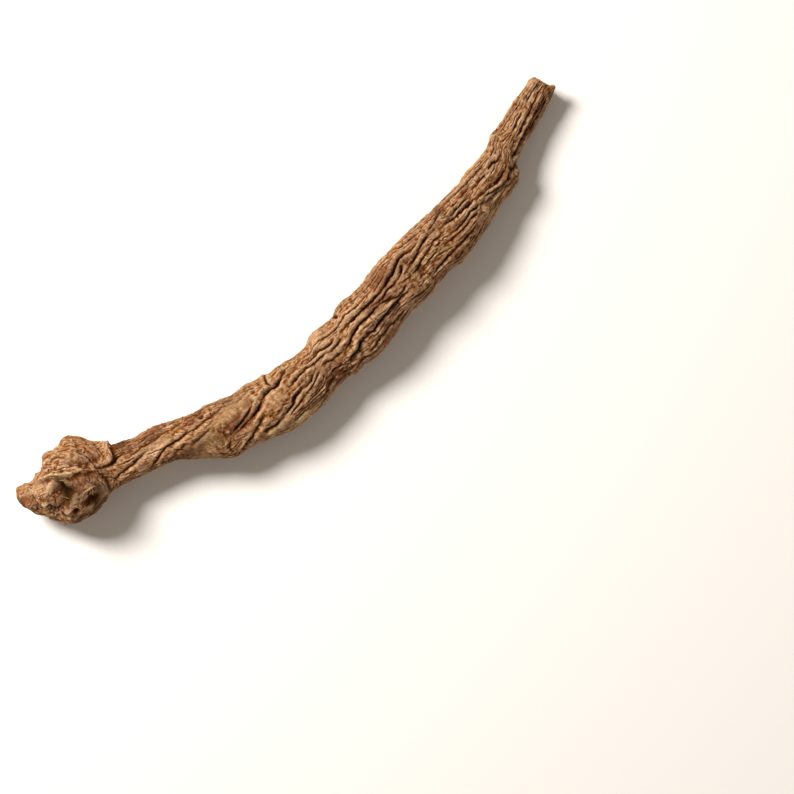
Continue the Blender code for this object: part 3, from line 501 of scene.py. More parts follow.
# %% Crown lines
CROWN_LINES = [
    (-0.5, 0.42, [(6.2, -1.3), (7.6, -2.1), (9.4, -3.1), (11.0, -4.2), (12.6, -5.0)]),
    (0.18, 0.11, [(6.9, -1.9), (8.6, -2.9), (10.4, -4.1), (12.2, -5.1)]),
    (-0.25, 0.3, [(12.0, -4.8), (13.8, -5.3), (15.6, -6.6), (16.8, -7.4)]),
    (-0.25, 0.2, [(15.8, -1.6), (16.5, -2.9), (16.9, -4.2), (17.1, -5.8)]),
    (0.24, 0.13, [(15.0, -1.0), (16.0, -2.2), (16.6, -3.6), (16.8, -5.4), (16.7, -6.4)]),
    (0.2, 0.12, [(16.2, -0.8), (17.1, -2.3), (17.5, -4.2), (17.4, -5.8)]),
    (0.2, 0.12, [(18.4, -0.6), (19.2, -2.4), (19.3, -4.4), (19.0, -6.0)]),
    (-0.3, 0.28, [(19.6, -1.8), (20.7, -2.9), (21.2, -4.4), (21.2, -5.8), (20.6, -7.0)]),
    (0.2, 0.13, [(9.6, 2.0), (10.8, 1.2), (12.3, 0.2), (13.4, -0.4)]),
    (0.18, 0.12, [(10.8, 2.0), (12.0, 1.0), (13.6, 0.1), (14.6, -0.8)]),
    (0.18, 0.12, [(14.4, 2.0), (15.6, 1.3), (16.8, 0.2), (17.6, -1.0)]),
    (-0.24, 0.25, [(10.2, 1.2), (11.3, 0.6), (12.4, -0.1)]),
    (-0.24, 0.25, [(14.2, 1.6), (15.4, 0.8), (16.3, -0.2)]),
    (0.2, 0.14, [(8.6, 0.6), (9.8, -0.4), (11.2, -1.3), (12.4, -1.8)]),
    (0.3, 0.17, [(8.2, -0.8), (9.6, -1.8), (11.6, -2.9), (13.0, -3.5), (14.4, -4.4)]),
    (0.25, 0.13, [(2.6, -2.0), (3.8, -3.0), (5.2, -3.4)]),
    (0.22, 0.12, [(2.4, -3.4), (3.4, -4.2), (4.8, -4.6)]),
    (0.22, 0.12, [(3.6, -1.2), (4.6, -1.9), (5.8, -2.2)]),
    (0.35, 0.16, [(4.4, -5.2), (5.3, -6.0), (5.5, -7.2), (5.2, -8.4)]),
    (-0.3, 0.26, [(10.6, -9.6), (11.8, -9.2), (13.2, -9.5), (14.0, -10.4)]),
    (0.28, 0.13, [(11.4, -9.0), (11.6, -10.0), (11.9, -10.8)]),
    (0.28, 0.13, [(12.6, -9.0), (12.6, -10.0), (12.4, -10.8)]),
    (0.28, 0.13, [(13.8, -9.6), (13.4, -10.4), (13.0, -11.0)]),
    (0.28, 0.13, [(10.2, -9.4), (10.6, -10.4), (11.2, -11.2)]),
    (0.3, 0.15, [(15.2, -9.0), (15.6, -10.4), (15.2, -12.2)]),
    (0.22, 0.13, [(10.4, -6.2), (10.2, -7.4), (10.4, -8.6)]),
    (0.22, 0.13, [(12.6, -6.6), (13.0, -7.6), (13.2, -8.6)]),
    (0.22, 0.13, [(14.4, -7.2), (15.0, -8.2), (15.2, -9.2)]),
    (0.4, 0.17, [(2.6, -7.0), (3.4, -6.8), (4.2, -7.2), (4.3, -8.0)]),
    (0.4, 0.17, [(2.9, -8.6), (3.3, -9.5), (4.2, -9.7)]),
    (0.4, 0.16, [(5.8, -11.8), (6.2, -12.8), (7.4, -13.6)]),
    (0.35, 0.15, [(8.4, -10.4), (8.6, -11.6), (9.0, -12.8)]),
    (0.25, 0.13, [(-0.6, -1.0), (0.4, -1.3), (1.2, -0.9)]),
    (0.25, 0.13, [(-0.9, -3.6), (0.2, -4.4), (0.6, -5.4)]),
]
COLLAR_RAYS = 17

crown_lines = [wrinkle(depth, seen_from_above(points), width)
               for depth, width, points in CROWN_LINES]
for share in np.linspace(0, 1, COLLAR_RAYS):
    inner = (19.2 + 0.3 * math.sin(3 * share), -1.4 - 5.3 * share)
    outer = (21.9 - 1.1 * (share - 0.5) ** 2, -2.6 - 4.6 * share)
    middle = ((inner[0] + outer[0]) / 2, (inner[1] + outer[1]) / 2 + fine_rng.uniform(-0.15, 0.15))
    crown_lines.append(wrinkle(0.28, seen_from_above([inner, middle, outer]), 0.12))
print(len(crown_lines), "crown lines")

# %% [markdown]
# ## What the camera shifts
#
# A camera shows what stands nearer to it a little farther from the middle of its view. The
# crown is both high and far from the middle, so whatever was drawn on it from above stands
# about a millimetre too far out. It is moved back towards the point below the camera, by the
# share that its height has in the camera's. The body is close to the middle, and there nothing
# moves. Lines are moved only after all random growth is done, so the growth isn't changed.

# %% Back towards the camera
MIDDLE_X = 74.7
MIDDLE_Y = -12.44
BELOW_CAMERA = (CAMERA_ABOVE[0] / MM + MIDDLE_X, CAMERA_ABOVE[1] / MM + MIDDLE_Y)
SHIFTED_TO_X = 21.5
SHIFT_FADE = 4.0


def shift_share(places):
    """The share of its distance from the camera's middle by which each place is shifted."""
    share = (places[..., 2] * MM - ROOT_MIDDLE_HEIGHT) / (camera.location.z - ROOT_MIDDLE_HEIGHT)
    return share * np.clip((SHIFTED_TO_X - places[..., 0]) / SHIFT_FADE, 0, 1)


def moved_back(points):
    """Points of x and angle, drawn from above, at their true places."""
    points = np.array(points, float)
    places = skin(points[:, 0], points[:, 1])
    share = shift_share(places) * (np.sin(points[:, 1]) > 0)
    new_x = places[:, 0] + share * (BELOW_CAMERA[0] - places[:, 0])
    new_y = places[:, 1] + share * (BELOW_CAMERA[1] - places[:, 1])
    moved = np.stack([new_x, from_above(new_x, new_y)], axis=1)
    return np.where(share[:, None] == 0, points, moved)


def as_seen(places):
    """The x and y at which the camera shows these places."""
    share = shift_share(places)
    return [places[..., axis] + share / (1 - share) * (places[..., axis] - BELOW_CAMERA[axis])
            for axis in (0, 1)]


drawn = [(depth, width, moved_back(points)) for depth, width, points in drawn]
crown_lines = [(depth, width, moved_back(points)) for depth, width, points in crown_lines]
ledges = [(*ledge[:3], moved_back(ledge[3])) for ledge in ledges[:-1]] + ledges[-1:]
bumps = [(*moved_back([bump[:2]])[0], *bump[2:]) for bump in bumps]
rim_end = seen_from_above(LEDGES_FROM_ABOVE[0][3])[-1]
print("the rim's end moves by", np.round(moved_back([rim_end])[0] - rim_end, 2), "mm and radians")

# %% [markdown]
# ## A fine grid
#
# The bark is a height over the smooth skin. A Displace modifier could raise it from a
# texture, but a texture knows nothing of lines and ledges, so the height is worked out here,
# on a grid of rings and corners, whole arrays at a time. The rings are a tenth of a millimetre
# apart in the crown, whose detail runs every way, and two tenths in the body, whose detail
# runs lengthwise.

# %% Grid
CROWN_END_GAP = 0.75
BODY_STARTS_X = 20.0
CORNERS = 384
CROWN_RINGS = 200
BODY_RINGS = 620

crown_start = CROWN_END_X + CROWN_END_GAP
crown_x = crown_start + (BODY_STARTS_X - crown_start) * np.linspace(0, 1, CROWN_RINGS) ** 1.1
body_x = np.linspace(BODY_STARTS_X, TIP_END_X - TIP_EDGE_LENGTH, BODY_RINGS + 1)[1:]
ring_x = np.concatenate([crown_x, body_x, [TIP_END_X - 0.3, TIP_END_X - 0.12, TIP_END_X]])
round_root = np.linspace(0, 2 * math.pi, CORNERS, endpoint=False)
x, angle = np.meshgrid(ring_x, round_root, indexing="ij")
radius = mean_radius(x)
smooth = skin(x, angle)
print(x.shape, "rings and corners")

# %% [markdown]
# ## Noise for the folds
#
# Blender's own noise gives the broad folds. It is read at places that are squeezed along x,
# which draws it out lengthwise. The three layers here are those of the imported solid.

# %% Folds
def soft_noise(places, size, stretch, shift):
    """Smooth noise, about -1 to 1, drawn out along the root."""
    scaled = places / np.array([size * stretch, size, size]) + shift
    flat = [noise.noise(place) for place in scaled.reshape(-1, 3).tolist()]
    return np.array(flat).reshape(places.shape[:-1])


near_crown = np.clip((19 - x) / 4, 0, 1)
fold_size = np.clip(radius / 6, 0.3, 1) * (1 - 0.5 * near_crown)
height = fold_size * (0.75 * soft_noise(smooth, 5.5, 4.0, 3.1)
                      + 0.3 * soft_noise(smooth, 3.2, 1.6, 11.7))
height += near_crown * (0.7 * soft_noise(smooth, 2.6, 1.0, 5.3) - 0.25)
height *= 1 - 0.7 * np.cos(angle) ** 4
print("folds, mm:", round(height.min(), 2), "to", round(height.max(), 2))

# %% [markdown]
# ## Places that follow the grain
#
# The root bends, and its grain bends with it. These places are measured from the root's own
# middle line, as if it had been straightened, so noise that is drawn out along them follows
# the bend. The crown grew differently, in layers round its oldest stem scar, so there the
# places are measured round that scar. The two meet at the collar and at the neck's crease.
# The finish reads these places too, and they are kept on the mesh as an attribute.

# %% Places along the grain
COLLAR_X = [(-1.5, 19.4), (-0.9, 21.0), (-0.4, 22.2), (0.2, 22.6), (0.75, 22.3), (1.2, 21.8),
            (1.5, 20.8), (1.76, 19.0), (1.95, 17.0), (2.6, 16.9), (3.14, 16.6), (4.0, 17.5)]
SCAR_AT = (9.0, -6.0)
SCAR_ROUND = 6.0

collar_angles, collar_xs = np.array(COLLAR_X).T
to_collar = np.interp(turn(angle), collar_angles, collar_xs, period=2 * math.pi) - x
crown = np.clip(to_collar / 0.5 + 0.5, 0, 1)
from_scar = smooth[..., :2] - np.array(SCAR_AT)
grain = np.stack([x, radius * np.cos(angle), radius * np.sin(angle)], axis=-1)
rings = np.stack([SCAR_ROUND * np.arctan2(from_scar[..., 1], from_scar[..., 0]),
                  np.hypot(from_scar[..., 0], from_scar[..., 1]), smooth[..., 2]], axis=-1)
grain = np.where(to_collar[..., None] > 0, rings, grain)
stray = (0.2 * soft_noise(smooth, 3.6, 1.2, 33.0) + 0.2 * soft_noise(smooth, 1.3, 1.0, 21.0)
         + 0.12 * soft_noise(smooth, 0.6, 1.0, 27.0))
stray_x = 0.3 * soft_noise(smooth, 2.0, 1.0, 47.0)
uneven = np.clip(1 + 1.1 * soft_noise(smooth, 1.7, 1.7, 58.0), 0.25, 1.7)
print("wrinkles stray by up to", round(np.abs(stray).max(), 2), "mm")

# %% [markdown]
# ## Sinking the wrinkles
#
# In dry bark a wrinkle is a narrow, dark cleft between two full lips, with a wider dip round
# it. A plain V would look like a scratch, so three curves are added up: the cleft, the dip
# and the lip.

# %% A wrinkle's profile
def profile(off):
    """The cleft, and the whole dent, at this many widths from a wrinkle's line."""
    cleft = np.exp(-(off / 0.36) ** 1.25)
    dip = np.exp(-(off / 1.15) ** 2)
    lip = np.exp(-((off - 1.5) / 0.7) ** 2)
    return cleft, -0.84 * cleft - 0.2 * dip + 0.25 * lip


def eased(value):
    """0 to 1 with a soft start and a soft end."""
    value = np.clip(value, 0, 1)
    return value * value * (3 - 2 * value)


print("profile in the middle:", round(float(profile(0.0)[1]), 2), "of the depth")

# %% [markdown]
# A wrinkle touches only a few rings, so each one is worked out on those alone. For every
# corner near it, the nearest leg of its line gives the distance, how far along it is, and on
# which side of the line the corner lies.

# %% Near a line
def rows_near(points, margin):
    """The rings that a line passes, with a margin."""
    first = np.searchsorted(ring_x, points[:, 0].min() - margin)
    return slice(first, np.searchsorted(ring_x, points[:, 0].max() + margin))


def from_line(rows, points):
    """Each place's distance from a line, its share of the way along, and its side of it."""
    here_x = x[rows] + stray_x[rows]
    here_radius = radius[rows]
    here_angle = angle[rows] + stray[rows] / here_radius
    nearest = np.full(here_x.shape, np.inf)
    along = np.zeros(here_x.shape)
    side = np.zeros(here_x.shape)
    for leg, (a, b) in enumerate(zip(points[:-1], points[1:])):
        leg_x = b[0] - a[0]
        leg_round = turn(b[1] - a[1]) * here_radius
        off_x = here_x - a[0]
        off_round = turn(here_angle - a[1]) * here_radius
        share = (off_x * leg_x + off_round * leg_round) / (leg_x ** 2 + leg_round ** 2)
        share = np.clip(share, 0, 1)
        distance = np.hypot(off_x - share * leg_x, off_round - share * leg_round)
        closer = distance < nearest
        nearest = np.where(closer, distance, nearest)
        along = np.where(closer, (leg + share) / (len(points) - 1), along)
        side = np.where(closer, np.sign(leg_round * off_x - leg_x * off_round), side)
    return nearest, along, side


touched = rows_near(drawn[0][2], 1.0)
print("the first wrinkle touches", touched.stop - touched.start, "rings")

# %% [markdown]
# With those, a wrinkle can be sunk and a ledge raised. A fade at both ends lets a wrinkle run
# out. One side often stands a little higher than the other, as if it were folded over, so
# each wrinkle leans. How deep each point lies in a cleft is kept as well, for the finish to
# paint shade into the cleft, where a shadow falls.

# %% Sinking and raising
FADE = 0.2
LEDGE_FADE = 0.15


def sink(height, dark, line, lean_over, darkness=1.0):
    """Sink one wrinkle into the bark."""
    depth, width, points = line
    rows = rows_near(points, 4 * width + 0.7)
    if rows.start == rows.stop:
        return
    distance, along, side = from_line(rows, points)
    fade = eased(np.minimum(along, 1 - along) / FADE)
    off = distance / width
    cleft, dent = profile(off)
    strength = depth * fade * uneven[rows]
    height[rows] += strength * (dent + lean_over * side * np.exp(-(off / 2.2) ** 2) * (1 - cleft))
    if depth > 0:
        # painted shade: the cleft's share is kept, so the finish can darken it as if shadow fell in
        cleft_shade = darkness * min(1.0, depth / 0.4) * fade * np.clip(uneven[rows], 0, 1) * cleft
        dark[rows] = np.maximum(dark[rows], cleft_shade)


def raise_ledge(height, ledge):
    """Raise the bark on the line's left, steep at the line and falling away behind it."""
    step, width, reach, points = ledge
    rows = rows_near(points, 2.5 * reach)
    distance, along, side = from_line(rows, points)
    inward = distance * side
    raised = eased(inward / width + 0.5) * np.exp(-(np.maximum(inward, 0) / reach) ** 1.5)
    height[rows] += step * eased(np.minimum(along, 1 - along) / LEDGE_FADE) * raised


print("each wrinkle fades over", FADE, "of its length at both ends")

# %% [markdown]
# Now everything goes in, the big things first. The drawn wrinkles of the crown and the neck
# are gentler than those of the body, by a share that rises along the root. Knobs and pits
# come last, with small ones that give the hollows their finer form, and painted shade is kept
# for the inside of each deep pit.

# %% Sink the wrinkles
GENTLE = [(16.0, 0.65), (34.0, 0.7), (50.0, 1.0)]
PIT_HEIGHT = -0.6
PIT_DARKNESS = 0.55
SMALL_BUMPS = [
    (7.9, -6.4, 1.5, -0.9), (7.8, -8.4, 1.4, -1.1), (11.3, -12.6, 0.9, 0.5),
    (13.3, -11.0, 0.8, 0.4), (6.4, -4.2, 0.5, 0.3), (10.9, -7.9, 0.8, 0.35),
    (12.6, -6.9, 0.7, 0.25), (14.3, -8.3, 0.8, 0.3), (3.1, -7.0, 0.35, 0.35),
    (4.3, -7.9, 0.3, 0.3), (3.2, -9.7, 0.4, 0.3), (4.4, -9.7, 0.4, 0.35),
    (5.5, -12.0, 0.5, 0.35), (6.5, -10.9, 0.4, 0.3), (8.3, -12.6, 0.5, 0.35),
    (7.2, -10.2, 0.5, 0.3), (1.9, -4.4, 0.5, 0.25), (3.7, -8.6, 0.6, -0.7),
    (-0.6, -1.6, 0.6, 0.25), (5.2, -0.8, 0.6, 0.25), (11.6, -1.3, 0.6, 0.25),
    (13.4, -1.4, 0.5, 0.25), (9.6, -0.6, 0.5, 0.25), (16.0, 0.9, 0.6, 0.25),
]

dark = np.zeros_like(height)
for ledge in ledges:
    raise_ledge(height, ledge)
lean_rng = random.Random(SEED + 2)
for depth, width, points in drawn:
    gentle = np.interp(points[:, 0].mean(), *np.array(GENTLE).T)
    sink(height, dark, (depth * gentle, width, points), lean_rng.uniform(-0.3, 0.3), gentle)
for line in main_grown + crown_creases:
    sink(height, dark, line, lean_rng.uniform(-0.3, 0.3))
for line in fine_grown:
    sink(height, dark, line, lean_rng.uniform(-0.2, 0.2))
for line in crown_lines:
    sink(height, dark, line, lean_rng.uniform(-0.2, 0.2), 0.6)
for line in cross_cracks:
    sink(height, dark, line, 0.0, 1.3)
small_bumps = [(*moved_back(seen_from_above([bump[:2]]))[0], *bump[2:]) for bump in SMALL_BUMPS]
for knob_x, knob_angle, knob_radius, knob_height in bumps + small_bumps:
    off = np.hypot(x - knob_x, turn(angle - knob_angle) * radius) / knob_radius
    height += knob_height * np.exp(-off ** 2.4)
    # deep pits get painted shade inside them
    if knob_height < PIT_HEIGHT:
        dark = np.maximum(dark, PIT_DARKNESS * np.exp(-(1.2 * off) ** 2.4))
print("with wrinkles, mm:", round(height.min(), 2), "to", round(height.max(), 2))

# %% [markdown]
# ## Smooth patches
#
# The bark isn't equally creased all over: the neck, the shoulder before the belly and two
# flats on the belly are nearly smooth, and so are three places on the crown. Each patch is an
# oval that holds back the finest creases, placed where the camera sees it.

# %% Smooth patches
SMOOTH_PATCHES = [
    (39.6, -19.4, 5.4, 3.8), (50.0, -16.2, 7.0, 2.6), (58.6, -19.4, 4.0, 2.4),
    (28.0, -12.6, 9.0, 1.2), (4.0, -2.4, 2.2, 2.0), (12.6, -7.0, 2.0, 1.2), (0.4, -1.4, 1.4, 1.4),
]

rough = np.ones_like(height)
upper_side = angle < math.pi
seen_x, seen_y = as_seen(smooth)
for patch_x, patch_y, reach_x, reach_y in SMOOTH_PATCHES:
    off = np.hypot((seen_x - patch_x) / reach_x, (seen_y - patch_y) / reach_y)
    rough -= 0.75 * upper_side * np.clip(1.5 - 1.5 * off, 0, 1)
rough = np.clip(rough, 0.2, 1)
print("nearly smooth share:", round(float((rough < 0.5).mean()), 3))

# %% [markdown]
# ## The finest relief
#
# Where noise passes zero it draws long, closed lines that fork and join. A narrow dent along
# them makes strands like those of a shrunken skin. They come in three sizes, and are deeper
# in some places than in others. Crinkles with no direction lie over them, low ripples run
# across the body and its smooth patches, and the crown has lumps, and pits as small as
# pinpricks.

# %% Strands, crinkles and crown texture
STRAND_STRETCH = 5.0
STRAND_SIZES = [(0.17, 1.7, 71.0, 0.065), (0.11, 0.8, 83.0, 0.09), (0.08, 0.42, 89.0, 0.12)]


def zero_lines(places, size, stretch, shift, narrow):
    """1 on the lines where noise passes zero, falling off to both sides."""
    return np.exp(-np.abs(soft_noise(places, size, stretch, shift)) / narrow)


woven = grain + np.stack([stray_x, stray, stray], axis=-1)
body = 1 - crown
slim = np.clip(radius / 6.5, 0.5, 1)
strands = sum(depth * zero_lines(woven, size, STRAND_STRETCH, shift, narrow)
              for depth, size, shift, narrow in STRAND_SIZES)
strands *= (1 - 0.6 * crown) * np.clip(0.75 + 1.1 * soft_noise(grain, 4.5, 1.8, 93.0), 0.3, 1.1)
crinkle = 0.14 * soft_noise(smooth, 1.2, 1.0, 97.0) + 0.13 * soft_noise(grain, 0.6, 1.5, 103.0)
crinkle = slim * crinkle + 0.055 * soft_noise(smooth, 0.34, 1.0, 107.0)
crinkle *= 1 - 0.15 * crown
banded = np.clip(soft_noise(grain, 6.0, 1.0, 119.0) + 0.5, 0, 1)
ripples = body * slim * 0.2 * soft_noise(grain, 2.6, 0.38, 113.0) * banded
ripples += body * 0.2 * (1 - rough) * soft_noise(grain, 1.7, 0.4, 127.0)
pitted = soft_noise(smooth, 0.85, 1.0, 131.0) + 0.5 * soft_noise(smooth, 0.4, 1.0, 137.0)
pits = crown * np.clip(pitted - 0.5, 0, 0.3)
lumps = crown * (0.17 * soft_noise(smooth, 1.3, 1.0, 141.0)
                 + 0.08 * soft_noise(smooth, 0.5, 1.0, 147.0))
height += rough * (crinkle + lumps - strands) + 0.45 * (1 - rough) * crinkle + ripples
height -= rough * 1.5 * pits
# painted shade along the fine strands and in the crown's small pits
dark = np.maximum(dark, rough * (2.6 - 0.8 * crown) * strands)
dark = np.maximum(dark, rough * 2.6 * pits)
print("full relief, mm:", round(height.min(), 2), "to", round(height.max(), 2))

# %% [markdown]
# ## The places that the root rests on
#
# Its own weight lies on the crown, the belly and the tip, and there the underside is pressed
# flat. All relief fades out round those spots, given by their x, half length and half width.

# %% Resting spots
RESTING_SPOTS = [(9.5, 7, 6), (62.5, 12, 7), (140.5, 7, 4)]

pressed = np.zeros_like(height)
for spot_x, length, width in RESTING_SPOTS:
    off_round = turn(angle - 1.5 * math.pi) * radius / width
    off = np.hypot((x - spot_x) / length, off_round)
    pressed = np.maximum(pressed, np.clip(1.6 - 2.2 * off, 0, 1))
height *= 1 - pressed
dark *= 1 - pressed
print("pressed share:", round(float((pressed > 0.5).mean()), 3))

# %% [markdown]
# ## What the finish needs to know
#
# Bark changes colour from place to place: it is redder on the neck, pale where rootlets broke
# off and where edges are rubbed, dark and damp in the stem scars of the crown, and here and
# there a stretch of half a centimetre or so is lighter or darker than the rest. Some patches are
# painted light as well: painted highlights along the crown's rim, on two ridge tops and along
# the lit lower edge of the belly, and painted shade under the rim and over the crown's lower
# side. These patches could be painted in texture paint mode. Ovals are used, because they can
# be moved by a number: each has its middle, its reach along and across, and its strength.

# %% Patches
RED_PATCHES = [
    (24.0, -6.0, 2.4, 1.6, 1.0), (30.0, -8.2, 8.0, 1.5, 0.5), (-0.2, -3.0, 1.4, 1.4, 0.9),
    (9.4, -4.8, 2.0, 0.8, 0.7), (11.4, -7.6, 2.0, 1.6, 0.55), (14.8, -7.4, 1.6, 1.2, 0.5),
    (14.6, 1.2, 1.6, 0.6, 0.5), (6.6, -12.4, 1.2, 0.9, 0.7), (104.5, -10.6, 2.0, 1.2, 0.4),
    (71.0, -21.8, 6.0, 2.0, 0.45), (88.0, -23.5, 7.0, 1.4, 0.4), (92.0, -17.2, 1.4, 0.6, 0.8),
    (113.0, -16.8, 5.0, 1.0, 0.35), (64.0, -16.8, 2.4, 0.8, 0.4), (48.0, -21.6, 4.0, 0.9, 0.4),
]
# pale spots: rootlet scars, and painted highlights on the crown's rim, two ridge tops and the lit
# lower edge
PALE_SPOTS_AND_HIGHLIGHTS = [
    (45.5, -19.2, 0.4, 0.4, 1.0), (54.8, -16.8, 0.35, 0.7, 0.85),
    (66.0, -16.1, 0.7, 0.3, 0.6), (101.4, -19.8, 1.1, 0.4, 0.9), (121.2, -15.4, 0.5, 1.2, 0.75),
    (131.4, -12.9, 0.9, 0.8, 0.6), (133.2, -3.6, 1.0, 0.7, 0.4), (6.5, -13.0, 0.4, 0.6, 0.9),
    (5.8, -10.4, 0.35, 0.6, 0.85), (2.7, -6.2, 0.35, 0.6, 0.9), (2.6, -8.3, 0.3, 0.5, 0.6),
    (7.1, -1.9, 0.7, 0.5, 0.5), (8.0, -2.4, 0.7, 0.5, 0.55), (8.9, -2.9, 0.7, 0.5, 0.5),
    (9.8, -3.5, 0.6, 0.45, 0.45), (10.8, -4.2, 0.6, 0.35, 0.4), (12.2, -9.3, 1.6, 0.35, 0.4),
    (72.1, -24.4, 0.3, 0.3, 1.0), (55.0, -25.6, 3.4, 0.5, 0.5), (61.0, -26.7, 5.0, 0.5, 0.5),
    (67.0, -26.6, 2.5, 0.4, 0.5), (52.0, -24.8, 2.0, 0.4, 0.45), (23.6, -7.4, 1.4, 0.25, 0.4),
    (76.8, -14.0, 1.1, 0.4, 0.6), (80.3, -14.1, 0.7, 0.35, 0.7), (112.0, -10.3, 2.0, 0.5, 0.4),
    (112.5, -19.6, 0.7, 0.5, 0.5), (107.7, -16.1, 0.9, 0.6, 0.35), (16.6, -3.6, 0.25, 1.2, 0.5),
    (21.3, -4.4, 0.4, 1.8, 0.4), (49.4, -15.6, 6.2, 2.0, 0.28), (39.4, -18.6, 5.0, 3.2, 0.22),
    (58.6, -19.4, 3.6, 2.0, 0.2),
]
# damp stem scars, and painted shade under the rim and over the crown's lower side
DAMP_AND_SHADE_PATCHES = [
    (7.9, -5.6, 1.6, 1.3, 1.0), (8.0, -7.1, 2.5, 3.3, 1.0), (12.0, -11.9, 2.4, 1.7, 0.85),
    (6.9, -6.4, 1.5, 2.0, 0.9), (7.6, -8.9, 1.6, 1.6, 0.9), (12.4, -5.9, 1.6, 0.5, 0.4),
    (9.4, -5.7, 1.6, 0.8, 0.6), (9.0, -9.6, 1.6, 1.4, 0.7), (14.6, -11.6, 1.6, 1.6, 0.6),
    (11.4, -13.9, 4.6, 1.5, 0.9), (6.0, -13.9, 2.6, 0.9, 0.85), (16.2, -12.4, 0.8, 1.4, 0.8),
    (24.4, -6.0, 2.5, 1.3, 0.8), (2.6, -9.8, 1.1, 1.0, 0.6), (6.6, -9.2, 0.8, 0.8, 0.5),
    (3.6, -7.5, 0.5, 0.45, 1.0), (3.7, -8.7, 0.8, 0.7, 1.0), (6.3, -6.0, 0.5, 1.4, 0.6),
    (4.7, -11.0, 0.7, 1.1, 1.0), (7.4, -11.9, 0.7, 0.6, 1.0), (14.6, -3.6, 1.3, 0.8, 0.6),
    (10.3, -3.0, 0.5, 0.35, 1.0), (12.9, -2.9, 0.5, 0.35, 0.9), (14.3, -4.3, 0.8, 0.4, 0.8),
    (16.9, -10.0, 0.5, 1.6, 0.8), (5.6, -1.7, 0.4, 0.3, 1.0), (101.0, -17.3, 0.9, 0.8, 0.6),
    (55.4, -15.3, 0.3, 0.25, 1.0), (42.8, -12.8, 0.5, 0.25, 0.9), (63.4, -16.1, 0.9, 0.4, 0.8),
    (8.6, -9.4, 1.0, 1.0, 0.5), (23.4, -5.2, 0.9, 0.8, 0.8), (9.8, -5.9, 2.0, 1.0, 0.6),
]

print("patches:", len(RED_PATCHES), "red,", len(PALE_SPOTS_AND_HIGHLIGHTS), "pale,", len(DAMP_AND_SHADE_PATCHES), "damp_and_shade")

# %% [markdown]
# Some longer stretches are lighter, such as the ridges that were handled most, and others are
# darker, such as the hollows between the big folds. Part of each is painted light: painted
# highlights on some ridges and edges, such as the tip's upper side and the crown's rim, and
# painted shade in hollows on the crown and between the big folds. They are ovals too, set down
# one by one wherever the bark is lighter or darker over several wrinkles.

# %% Light and dark stretches
LIGHTER_BARK_AND_HIGHLIGHTS = [
    (147.8, 0.8, 1.9, 1.4, 1.0), (145.0, -1.7, 1.9, 1.3, 1.0), (140.4, -4.1, 2.0, 1.2, 0.9),
    (30.0, -12.0, 4.4, 1.5, 1.0), (25.0, -14.0, 1.7, 1.4, 1.0), (7.8, -4.0, 4.6, 1.3, 1.0),
    (3.4, -2.0, 3.4, 1.4, 0.6), (15.2, -11.9, 1.6, 1.5, 1.0), (12.7, -1.9, 1.6, 1.3, 0.5),
    (60.0, -26.8, 3.0, 1.2, 0.9), (57.8, -24.2, 2.4, 1.3, 0.5), (69.6, -21.8, 4.4, 1.4, 0.8),
    (74.0, -19.4, 3.4, 1.3, 0.6), (78.0, -19.2, 2.2, 1.2, 0.5), (73.8, -14.2, 2.6, 1.2, 0.6),
    (89.5, -19.2, 4.4, 1.2, 0.5), (94.8, -21.8, 1.9, 1.4, 1.0), (120.8, -16.8, 2.6, 1.4, 0.9),
    (124.5, -14.4, 4.4, 1.3, 0.5), (127.2, -9.2, 2.2, 1.2, 0.6), (47.6, -21.8, 2.0, 1.2, 0.5),
]
DARKER_BARK_AND_SHADE = [
    (36.8, -16.8, 6.0, 1.7, 1.0), (47.8, -19.2, 6.0, 1.7, 1.0), (93.4, -13.6, 3.6, 3.3, 0.9),
    (89.4, -16.8, 5.0, 1.5, 0.8), (72.0, -24.4, 4.0, 1.5, 1.0), (5.2, -8.0, 2.3, 3.0, 0.9),
    (11.6, -6.9, 3.4, 1.5, 0.9), (31.8, -9.2, 3.4, 1.4, 0.8), (40.6, -11.9, 3.6, 1.6, 0.8),
    (48.8, -14.2, 6.0, 1.5, 0.7), (129.6, -11.8, 3.0, 1.5, 0.9), (113.0, -9.2, 2.2, 1.3, 0.9),
    (120.4, -9.1, 1.9, 1.3, 0.7), (115.0, -14.4, 2.4, 1.5, 0.7), (112.4, -16.8, 2.4, 1.2, 0.5),
    (110.2, -19.2, 1.9, 1.3, 0.9), (140.4, -6.8, 1.9, 1.2, 0.8), (144.2, -4.2, 3.0, 1.2, 0.7),
    (88.0, -21.8, 1.8, 1.2, 0.8), (17.8, -4.6, 1.6, 2.0, 0.7), (17.8, -9.2, 1.2, 1.4, 0.5),
    (24.0, -6.9, 2.6, 1.3, 0.5), (98.6, -13.4, 3.4, 2.2, 0.5), (109.0, -11.8, 2.4, 1.2, 0.5),
]

print("stretches:", len(LIGHTER_BARK_AND_HIGHLIGHTS), "light,", len(DARKER_BARK_AND_SHADE), "dark")

# %% [markdown]
# The finish lightens the crests of a dried root and darkens its dents. On the crests this is
# partly dust and handling and partly a painted highlight; in the dents it is painted shade. A
# crest is a place that stands higher than the average round it, so a blurred height is taken
# away from the height: once blurred only a little, and once over about a millimetre. All marks
# are kept under the names that the finish reads.

# %% Crests and marks
NEAR_CREST = 0.09
WIDE_CREST = 0.25


def blur(field, reach_rings, reach_corners):
    """The average over a few rings and corners round each point."""
    around = sum(np.roll(field, step, axis=1) for step in range(-reach_corners, reach_corners + 1))
    around = around / (2 * reach_corners + 1)
    padded = np.pad(around, ((reach_rings, reach_rings), (0, 0)), mode="edge")
    rings = sum(padded[step:step + len(field)] for step in range(2 * reach_rings + 1))
    return rings / (2 * reach_rings + 1)


